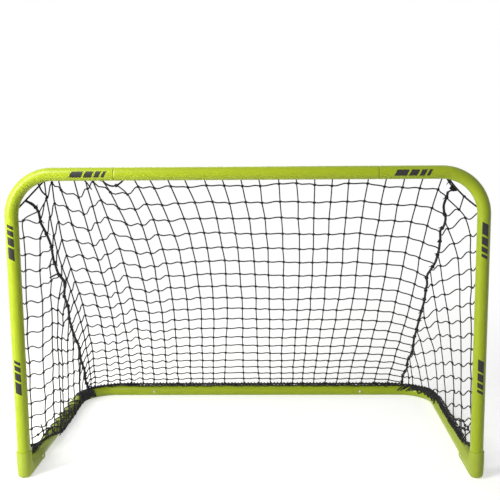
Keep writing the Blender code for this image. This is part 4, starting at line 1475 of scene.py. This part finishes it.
finish_piece(back, "black_twine", "net_back")
print("back net:", len(back.data.polygons), "faces")

# %% [markdown]
# A side net fills the triangle between a post, the base tube and the seam. Its upright cords start at the
# seam, swing out over the base tube and drop to the base rope. Its crossing cords run from the rope behind
# the post to the seam and hang lower the further back they are. A flat grid bent into place would be
# simpler, but these nets hang in loose folds. So the lists hold what the photograph shows of each upright,
# and a short rule gives the places of the rows. The photograph shows the folds only from the front, so a
# knot that would stand out far behind the seam is drawn forward. The lowest rows by each foot, which the
# spare netting pulls down, are given point by point.

# %% Side nets
# for each upright: the share of the seam where it starts, the shares of the base rope that it hangs over
# at its shoulder and at the floor, how far below its start the shoulder is, and how low its knots hang
UPRIGHTS = {
    -1: [
        (0.055, 0.075, 0.040, 0.05, 0.040),
        (0.110, 0.260, 0.225, 0.08, 0.085),
        (0.205, 0.360, 0.315, 0.12, 0.070),
        (0.300, 0.450, 0.420, 0.40, 0.095),
        (0.380, 0.530, 0.490, 0.50, 0.125),
        (0.460, 0.640, 0.600, 0.50, 0.155),
        (0.540, 0.730, 0.710, 0.50, 0.170),
        (0.630, 0.850, 0.820, 0.50, 0.190),
        (0.720, 0.900, 0.890, 0.40, 0.200),
        (0.810, 0.940, 0.930, 0.30, 0.210),
    ],
    1: [
        (0.085, 0.150, 0.018, 0.166, 0.063),
        (0.160, 0.325, 0.184, 0.317, 0.137),
        (0.272, 0.462, 0.320, 0.800, 0.172),
        (0.335, 0.797, 0.465, 0.800, 0.239),
        (0.480, 0.918, 0.698, 0.800, 0.322),
        (0.550, 0.956, 0.836, 0.609, 0.373),
        (0.700, 0.961, 0.888, 0.590, 0.388),
        (0.780, 0.968, 0.943, 0.800, 0.386),
        (0.860, 0.968, 0.968, 0.200, 0.394),
    ],
}
SIDE_ROWS = 15
# start, slope and curve of the rows' ends: on the post's rope by the row's number, as a share of its
# length, and on the seam by that share
POST_ENDS = {-1: (0.027, 0.0725, -0.0006), 1: (0.006, 0.0760, -0.0008)}
SEAM_ENDS = {-1: (0.072, 0.58, 0.33), 1: (0.200, 0.80, 0.39)}
# share of an upright's hang that its highest knot has, and what is added on the way down
KNOTS_HANG = {-1: (0.35, 0.65), 1: (0.60, 0.40)}
SIDE_WAVE = {-1: 0.0042, 1: 0.0058}  # depth of the S of a crossing cord
LAST_SEAM_END = 0.99
HEIGHT_CHANCE = 0.0025
PLACE_CHANCE = np.array([0.0015, 0.0030, 0.0])
ROPE_NEARBY = 0.01  # half the length over which a rope's direction is taken, as a share of it
ABOVE_ROPE = 0.012  # no knot is nearer to the base rope
BELOW_START = 0.004  # nor nearer to its upright's start
# the right side net has one more row, which starts on the rope across the corner
CORNER_ROW_PLACE = -0.030
CORNER_ROW_END = 0.42  # share of the corner's rope
CORNER_ROW_SEAM = 0.140


def side_foot(side, share):
    """Point on the base rope between the foot and the seam."""
    if side < 0:
        distance = LEFT_FOOT * share
    else:
        distance = ROUTE_LENGTH - (ROUTE_LENGTH - RIGHT_FOOT) * share
    return base_rope(distance) + UPWARDS * ROPE_RADIUS


SEAM_LINE_POINTS = 60
SEAM_LINES = {}
for side, listed in SEAMS.items():
    shares = np.linspace(1.0, listed[0][0], SEAM_LINE_POINTS)
    SEAM_LINES[side] = np.array([seam(side, share) for share in shares])
BULGE = 0.022  # a knot further behind the seam than this is drawn forward
BULGE_KEPT = 0.20  # and keeps this share of the rest
DRAWN_IN = {-1: 0.31, 1: 0.23}  # it goes inward by this share of its way forward
DRAWN_UP = 0.48  # and up by this share, times its depth below the crossbar


def kept_close(side, place):
    """The place of a knot, drawn forward if it would stand out too far behind the seam."""
    line = SEAM_LINES[side]
    excess = place[1] - np.interp(place[2], line[:, 2], line[:, 1]) - BULGE
    if excess <= 0:
        return place
    way = np.array([-side * DRAWN_IN[side], -1.0, (BAR_Z - place[2]) * DRAWN_UP])
    return place + way * excess * (1 - BULGE_KEPT)


def on_upright(side, upright, height):
    """Place on an upright cord of a side net, at a height above the floor."""
    start, shoulder, foot, reach, hang = upright
    top = seam(side, start)
    bottom = side_foot(side, foot)
    down = min(1.0, max(0.0, (top[2] - height) / (top[2] - bottom[2])))
    line = side_foot(side, shoulder + (foot - shoulder) * down)
    drawn = 1 - (1 - min(1.0, down / reach)) ** 2
    place = top + (line - top) * drawn
    return kept_close(side, np.array([place[0], place[1], max(height, bottom[2])]))


def curve_of(values, x):
    """Start, slope and curve, read off at x."""
    return values[0] + values[1] * x + values[2] * x * x


def row_height(side, share, hang):
    """Height of a row where it meets an upright that hangs by so much."""
    low, more = KNOTS_HANG[side]
    return ROPE_TOP - (share + hang * (low + more * share)) * (ROPE_TOP - ROPE_LOW)


def side_rows(side):
    """For each crossing cord: its place on the post, its end there and its share of the seam."""
    shares = [curve_of(POST_ENDS[side], r) for r in range(SIDE_ROWS)]
    seam_shares = [min(LAST_SEAM_END, curve_of(SEAM_ENDS[side], s)) for s in shares]
    rows = [(s, post_rope(side, s * ROPE_ROWS), seam_share) for s, seam_share in zip(shares, seam_shares)]
    if side > 0:
        rows.insert(0, (CORNER_ROW_PLACE, corner_rope(side, CORNER_ROW_END), CORNER_ROW_SEAM))
    return rows


def crossing_knots(side, share, seam_share):
    """Knots of a crossing cord by upright, and its far end, on the seam or where it meets the base rope."""
    knots = {}
    for u, upright in enumerate(UPRIGHTS[side]):
        if upright[0] > seam_share:
            break
        height = row_height(side, share, upright[4]) + dice.uniform(-1, 1) * HEIGHT_CHANCE
        foot = side_foot(side, upright[2])
        if height < foot[2] + ABOVE_ROPE:
            return knots, foot
        if height < seam(side, upright[0])[2] - BELOW_START:
            knots[u] = on_upright(side, upright, height) + dice.uniform(-1, 1, 3) * PLACE_CHANCE
    return knots, seam(side, seam_share)


# the lowest crossing cords near each foot, that the spare netting pulls down, and what ties them to it:
# for each point its distance behind the post and its height above the base tube's axis
LOW_ROWS = {
    -1: [
        [(0.062, 0.058), (0.114, 0.048), (0.158, 0.042), (0.202, 0.031), (0.240, 0.021)],
        [(0.130, 0.021), (0.164, 0.027), (0.191, 0.024), (0.225, 0.020)],
        [(0.143, 0.066), (0.158, 0.042), (0.164, 0.027)],
    ],
    1: [
        [
            (0.290, 0.022), (0.231, 0.045), (0.184, 0.061), (0.150, 0.073), (0.126, 0.070), (0.094, 0.078),
            (0.055, 0.110),
        ],
        [(0.205, 0.024), (0.183, 0.042), (0.147, 0.053), (0.125, 0.057), (0.093, 0.071), (0.050, 0.072)],
        [(0.126, 0.070), (0.125, 0.057), (0.110, 0.024)],
        [(0.184, 0.061), (0.183, 0.042)],
    ],
}


def side_net_piece(side, word):
    """One side net: the listed low rows, the crossing cords with their knots, and the uprights."""
    parts = []
    for listed in LOW_ROWS[side]:
        row_knots = [ground_point(side, reach) + UPWARDS * height for reach, height in listed]
        parts.append(cord(row_knots))
        parts += [knot(place, REARWARDS, UPWARDS) for place in row_knots[1:-1]]
    columns = [[seam(side, upright[0])] for upright in UPRIGHTS[side]]
    for share, post_end, seam_share in side_rows(side):
        knots, far_end = crossing_knots(side, share, seam_share)
        row_knots = [far_end, *reversed(knots.values()), post_end]
        parts.append(cord(crossing_points(row_knots, [SIDE_WAVE[side]] * len(row_knots))))
        parts.append(knot(post_end, UPWARDS, REARWARDS, ROPE_DRAWN))
        for u, place in knots.items():
            parts.append(knot(place, place - columns[u][-1], REARWARDS))
            columns[u].append(place)
    for upright, column in zip(UPRIGHTS[side], columns):
        foot = side_foot(side, upright[2])
        rope_run = side_foot(side, upright[2] + ROPE_NEARBY) - side_foot(side, upright[2] - ROPE_NEARBY)
        parts.append(cord([*column, foot]))
        parts.append(knot(foot - UPWARDS * ROPE_RADIUS, rope_run, UPWARDS, ROPE_DRAWN))
    thing = mesh_object(f"{word}_side_net_knotted", parts, net_twine)
    return finish_piece(thing, "black_twine", f"net_{word}")


for side, word in SIDES:
    made = side_net_piece(side, word)
    print(made.name, len(made.data.polygons), "faces")

# %% [markdown]
# The border ropes are laid from three strands. Three cords twisted together would be the real make, but one
# section with three lobes that turn once in 14 mm looks the same from outside and needs fewer faces.
# The head rope runs down behind each post to its foot, where it meets the base rope. The base rope leaves
# the right tube just before its end and rises to the post.

# %% Border ropes
ROPE_LAY = 0.014
ROPE_SIDES = 12
ROPE_LOBES = 3
STEPS_A_LAY = 7
CORNER_STEPS = 6
BASE_POINTS = 150
RISE_FROM = 0.085  # the base rope leaves the right tube this far before its end
RISE_TO = (0.050, 0.045)  # distance behind the post, and height above the tube's axis


def laid_rope(name, points, radius, *nodes):
    """Three-strand rope through the points."""
    path = flowing(points, ROPE_LAY / STEPS_A_LAY)
    parts = [cord_parts(path, radius, ROPE_SIDES, ROPE_LOBES, ROPE_LAY)]
    finish_piece(mesh_object(name, parts, rope_twine), "black_twine", *nodes)
    print(name, "is", round(lengths_along(path)[-1], 3), "m long")


head = [post_rope(-1, row / 2) for row in range(2 * ROPE_ROWS, -1, -1)]
head += [corner_rope(-1, k / CORNER_STEPS) for k in range(1, CORNER_STEPS)]
head += [dipping_rope(column / 4) for column in range(-2 * BAR_COLUMNS, 2 * BAR_COLUMNS + 1)]
head += [corner_rope(1, k / CORNER_STEPS) for k in range(CORNER_STEPS - 1, 0, -1)]
head += [post_rope(1, row / 2) for row in range(2 * ROPE_ROWS + 1)]
laid_rope("head_rope_laid", head, ROPE_DRAWN, "head_rope")
base = [base_rope(distance) for distance in np.linspace(0, ROUTE_LENGTH - RISE_FROM, BASE_POINTS)]
base.append(ground_point(1, RISE_TO[0]) + UPWARDS * RISE_TO[1])
laid_rope("base_rope_laid", base, ROPE_DRAWN, "base_rope")

# %% [markdown]
# The side nets are laced to the back net with a thicker cord. About every row it is tied with a small knot
# whose ends stand out a few millimetres. The knots and their ends could be left to the material's relief,
# but they give the seam its ragged outline, so they are modelled.

# %% Seam cords
SEAM_RADIUS = 0.0036
SEAM_LAY = 0.016
TIE_RADIUS = 0.0011
TIE_TURNS = 2.2
TIE_STEPS = 16
TIE_SIDES = 5
TIE_SEAT = 0.8  # under 1, the tie sinks a little into the cord
TIE_SPREAD = 0.005
TIE_END = 0.004  # how far the first end stands out
TIE_SLANT = 0.003
TIE_CHANCE = 0.002
LAST_TIE_END = 0.8  # and the last one, as a share of the tie's size
SEAM_POINTS = 70
TIES = 21
FIRST_TIE = 0.04
TIE_PITCH = 0.047
TIE_SHIFT = 0.006


def tie(place, along, inner_radius):
    """Two turns of thin cord round a rope, with two short ends that stand out."""
    along = unit(along)
    helper = dice.normal(size=3)
    first = unit(helper - along * (helper @ along))
    second = np.cross(along, first)
    radius = inner_radius + TIE_RADIUS * TIE_SEAT
    start = place + first * (radius + TIE_END) - along * TIE_SLANT
    points = [start + second * dice.uniform(-TIE_CHANCE, TIE_CHANCE)]
    for k in range(TIE_STEPS + 1):
        share = k / TIE_STEPS
        angle = TIE_TURNS * 2 * math.pi * share
        lift = along * (share - 0.5) * TIE_SPREAD
        points.append(place + lift + (first * math.cos(angle) + second * math.sin(angle)) * radius)
    points.append(points[-1] + (points[-1] - place) * LAST_TIE_END + along * TIE_SLANT)
    return cord_parts(np.array(points), TIE_RADIUS, TIE_SIDES)


for side, word in SIDES:
    fine = [seam(side, share) for share in np.linspace(SEAMS[side][0][0], 1.0, SEAM_POINTS)]
    path = flowing(fine, SEAM_LAY / STEPS_A_LAY)
    parts = [cord_parts(path, SEAM_RADIUS, ROPE_SIDES, ROPE_LOBES, SEAM_LAY)]
    for k in range(TIES):
        share = FIRST_TIE + k * TIE_PITCH + dice.uniform(-1, 1) * TIE_SHIFT
        seam_run = seam(side, share + ROPE_NEARBY) - seam(side, share - ROPE_NEARBY)
        parts.append(tie(seam(side, share), seam_run, SEAM_RADIUS))
    thing = mesh_object(f"{word}_seam_cord_laced", parts, rope_twine)
    finish_piece(thing, "black_twine", f"{word}_seam_cord")
    print(thing.name, round(lengths_along(path)[-1], 3), "m")

# %% [markdown]
# More netting is hung on the ground frame than fits, so the spare meshes are wound round the border rope in
# a ragged roll, thin along the left tube and full elsewhere. More of them lie on the tubes: as large
# diamonds over the top and the inner side of the left one, small and dense on top of the right one, in
# thick bunches at the two bends, and in a narrow strip on top of the rear bar. Simulating crumpled netting
# would take long and wouldn't land where the photograph shows it. So each band is drawn with cords that
# zigzag between two angles round the tube, and the roll with cords wound round the rope, both kept off the
# tube's skin.

# %% Bunched netting on the ground frame
BAND_CORD = 0.0013
BAND_SIDES = 5
BAND_STEPS = 4
BAND_STEP = 0.006
BAND_LIFT = 0.0022  # a bend of a cord may stand this much higher by chance
ROLL_PITCH = 0.0110
ROLL_STEPS = 8
ROLL_RADIUS = 0.0040
ROLL_BREADTH = 1.3  # the roll is flattened along the tube's skin by this much
ROLL_CHANCE = (0.55, 1.55)
RIM_NEARBY = 0.003


def tube_skin(distance):
    """Radius of what lies under the netting: the elbow near the feet, else the tube."""
    reach = on_route(distance, ROUTE)[1] - POST_Y
    under = ELBOW_RADIUS + RIM_FLARE if reach < ELBOW_REACH + RIM_NEARBY else TUBE_RADIUS
    return under + BAND_CORD


def band(start, end, low, high, diamonds, cords, gap, wobble, thick):
    """Cords that zigzag between the angles low and high round the tube, from start to end along it."""
    parts = []
    steps = diamonds * 2
    for s in range(cords):
        angles = [(high if k % 2 else low) + dice.uniform(-1, 1) * wobble for k in range(steps + 1)]
        lifts = [gap + dice.uniform(0, 1) * BAND_LIFT for k in range(steps + 1)]
        points = []
        for k in np.linspace(0, steps, steps * BAND_STEPS + 1):
            distance = start + (end - start) * (k + s * 2 / cords) / (steps + 2)
            angle = math.radians(np.interp(k, range(steps + 1), angles))
            radius = tube_skin(distance) + np.interp(k, range(steps + 1), lifts)
            points.append(by_tube(distance, angle, radius))
        parts.append(cord_parts(flowing(points, BAND_STEP), thick, BAND_SIDES))
    return parts


def wound_cord(start, end, fullness, hand):
    """Cord wound round the base rope, with a hand of 1 or -1, fuller and thinner by chance."""
    turns = int((end - start) / ROLL_PITCH)
    points = []
    for k in range(turns * ROLL_STEPS + 1):
        if k % ROLL_STEPS == 0:
            swell = fullness * dice.uniform(*ROLL_CHANCE)
        distance = start + (end - start) * k / (turns * ROLL_STEPS)
        turned = hand * 2 * math.pi * k / ROLL_STEPS
        rope_angle, rope_radius = base_rope_place(distance)
        angle = rope_angle + ROLL_RADIUS * swell * ROLL_BREADTH * math.sin(turned) / rope_radius
        radius = rope_radius + ROLL_RADIUS * swell * math.cos(turned)
        points.append(by_tube(distance, angle, max(radius, tube_skin(distance))))
    return cord_parts(np.array(points), BAND_CORD, BAND_SIDES)


LEFT_SLACK = 0.230  # the roll is thin up to here
LEFT_BEND = LEFT_FOOT - 0.065
RIGHT_BEND = RIGHT_FOOT + 0.150
RIGHT_END = ROUTE_LENGTH - RISE_FROM
# for each band: where it starts and ends along the ground frame, the lowest and highest angle in degrees,
# its diamonds, its cords, their gap over the tube, how uneven the angles are, and the cords' radius
BANDS = {
    "left": [
        (0.125, LEFT_FOOT - 0.050, 56, 118, 3, 2, 0.0008, 5, 0.0019),
        (0.175, LEFT_FOOT - 0.045, 18, 56, 4, 2, 0.0006, 6, 0.0018),
        (0.205, LEFT_FOOT, -22, 10, 7, 2, 0.0006, 8, 0.0016),
        (LEFT_BEND, LEFT_FOOT + 0.032, -20, 104, 3, 4, 0.0008, 12, 0.0017),
    ],
    "right": [
        (RIGHT_BEND, RIGHT_END, 74, 150, 7, 2, 0.0008, 9, 0.0014),
        (RIGHT_BEND, RIGHT_END, 86, 128, 9, 1, 0.0018, 10, 0.0015),
        (RIGHT_FOOT - 0.085, RIGHT_BEND + 0.050, 62, 106, 3, 3, 0.0006, 12, 0.0018),
        (RIGHT_FOOT - 0.020, RIGHT_BEND + 0.030, 18, 90, 2, 6, 0.0008, 14, 0.0018),
        (RIGHT_FOOT + 0.060, RIGHT_BEND + 0.070, 34, 96, 2, 3, 0.0008, 14, 0.0018),
    ],
    "rear": [(LEFT_FOOT, RIGHT_FOOT, 62, 96, 30, 3, 0.0004, 7, BAND_CORD)],
}
# for each stretch of the roll: where it starts and ends, and how full it is
ROLLS = {
    "left": [(0.030, 0.090, 0.6), (0.090, LEFT_SLACK, 0.35), (LEFT_SLACK, LEFT_FOOT, 0.55)],
    "right": [(RIGHT_FOOT, RIGHT_END, 0.85)],
    "rear": [(LEFT_FOOT, RIGHT_FOOT, 0.9)],
}

for word in BANDS:
    parts = []
    for values in BANDS[word]:
        parts += band(*values)
    for values in ROLLS[word]:
        parts += [wound_cord(*values, hand) for hand in (1, -1)]
    finish_piece(mesh_object(f"bunched_netting_{word}", parts, net_twine), "black_twine")
    print("bunched netting,", word, "has", len(parts), "cords")

# %% [markdown]
# A few places are untidy, as on any net that was laced by hand: a bundle of spare cord in the top right
# corner, a thick lacing in the top left one, a loose end under the crossbar, a lacing with its tie on the
# left seam, and a bunch at each foot, where the head rope is tied to the base rope. The lacings are short
# ropes through places on the back net. A bunch could be many short cords, but the real one is a single long
# cord, so it is one cord that wanders inside an egg-shaped space. Its loops come from slow waves of unlike
# lengths, so that it never bends sharply.

# %% Lacings and bunches
LACING_RADIUS = 0.0024
SEAM_LACING_RADIUS = 0.0042
# for each lacing: its places, as columns and shares of the way down the back net, and its radius
LACINGS = {
    "left_corner_lacing_thick": ([(-8.82, -0.005), (-8.80, 0.019), (-8.63, 0.046)], LACING_RADIUS),
    "left_corner_lacing_thin": ([(-8.63, 0.046), (-8.98, 0.052), (-9.31, 0.060)], CORD_RADIUS),
    "left_corner_lacing_low": (
        [(-9.69, 0.003), (-9.47, 0.020), (-9.35, 0.038), (-9.32, 0.060)],
        LACING_RADIUS,
    ),
    "loose_end": (
        [(-7.05, 0.002), (-6.88, 0.020), (-6.72, 0.030), (-6.66, 0.040), (-6.60, 0.049)],
        CORD_RADIUS,
    ),
    "right_corner_lacing": (
        [(8.27, 0.029), (8.44, 0.044), (8.64, 0.055), (8.74, 0.062), (8.51, 0.063), (8.37, 0.069)],
        LACING_RADIUS,
    ),
    "left_seam_lacing": (
        [(-9.58, 0.270), (-9.50, 0.292), (-9.41, 0.318), (-9.50, 0.334)],
        SEAM_LACING_RADIUS,
    ),
    "left_seam_tie": ([(-10.10, 0.262), (-9.76, 0.268), (-9.57, 0.272)], LACING_RADIUS),
}
BUNCH_CORD = 0.0014
BUNCH_SIDES = 5
BUNCH_STEP = 0.005
BUNCH_LOOPS = 12
LOOP_POINTS = 12
LOOP_WAVE = 0.7  # size of the waves that make the loops, over the half axis
DRIFT_WAVE = 0.5  # and of the slow ones that move them about
LOOP_SHIFT = 0.37  # each half axis has this much of a loop more than the one before it
DRIFT_SHARE = 0.31  # number of the slow waves, over that of the loops
BUNDLE_PLACE = (8.56, 0.056)
BUNDLE_SPANS = [(0.004, 0.0, -0.004), (0.0, 0.003, 0.0), (0.003, 0.0, 0.004)]
FOOT_BUNCHES = {-1: (0.082, 0.032), 1: (0.078, 0.038)}  # how far behind the post and above its axis
FOOT_BUNCH_INWARD = 0.004
FOOT_SPANS = [(0.0, 0.018, -0.003), (0.006, 0.0, 0.0), (0.0, 0.0, 0.004)]


def bunch(name, centre, spans):
    """Piece of one cord that wanders inside an egg-shaped space, given by its centre and three half axes."""
    turned = np.linspace(0, 2 * math.pi, BUNCH_LOOPS * LOOP_POINTS)
    points = np.tile(centre, (len(turned), 1))
    for k, span in enumerate(spans):
        phase, drift_phase = dice.uniform(0, 2 * math.pi, 2)
        wave = np.sin(turned * (BUNCH_LOOPS + k * LOOP_SHIFT) + phase) * LOOP_WAVE
        wave += np.sin(turned * (BUNCH_LOOPS * DRIFT_SHARE + k) + drift_phase) * DRIFT_WAVE
        points += wave[:, None] * np.array(span)
    parts = [cord_parts(flowing(points, BUNCH_STEP), BUNCH_CORD, BUNCH_SIDES)]
    finish_piece(mesh_object(name, parts, net_twine), "black_twine")


for name, (listed, radius) in LACINGS.items():
    laid_rope(name, [back_net(column, share) for column, share in listed], radius)

bunch("right_corner_bundle", back_net(*BUNDLE_PLACE), BUNDLE_SPANS)
for side, word in SIDES:
    reach, above = FOOT_BUNCHES[side]
    foot = ground_point(side, reach) + np.array([-side * FOOT_BUNCH_INWARD, 0, above])
    post_end = post_rope(side, ROPE_ROWS)
    rope_end = base[0] if side < 0 else base[-1]
    laid_rope(f"{word}_foot_rope_tail", [post_end, (post_end + foot) / 2, foot, rope_end], ROPE_DRAWN)
    bunch(f"{word}_foot_bunch", foot, FOOT_SPANS)
print("lacings made:", len(LACINGS), "bunches made:", 1 + len(SIDES))
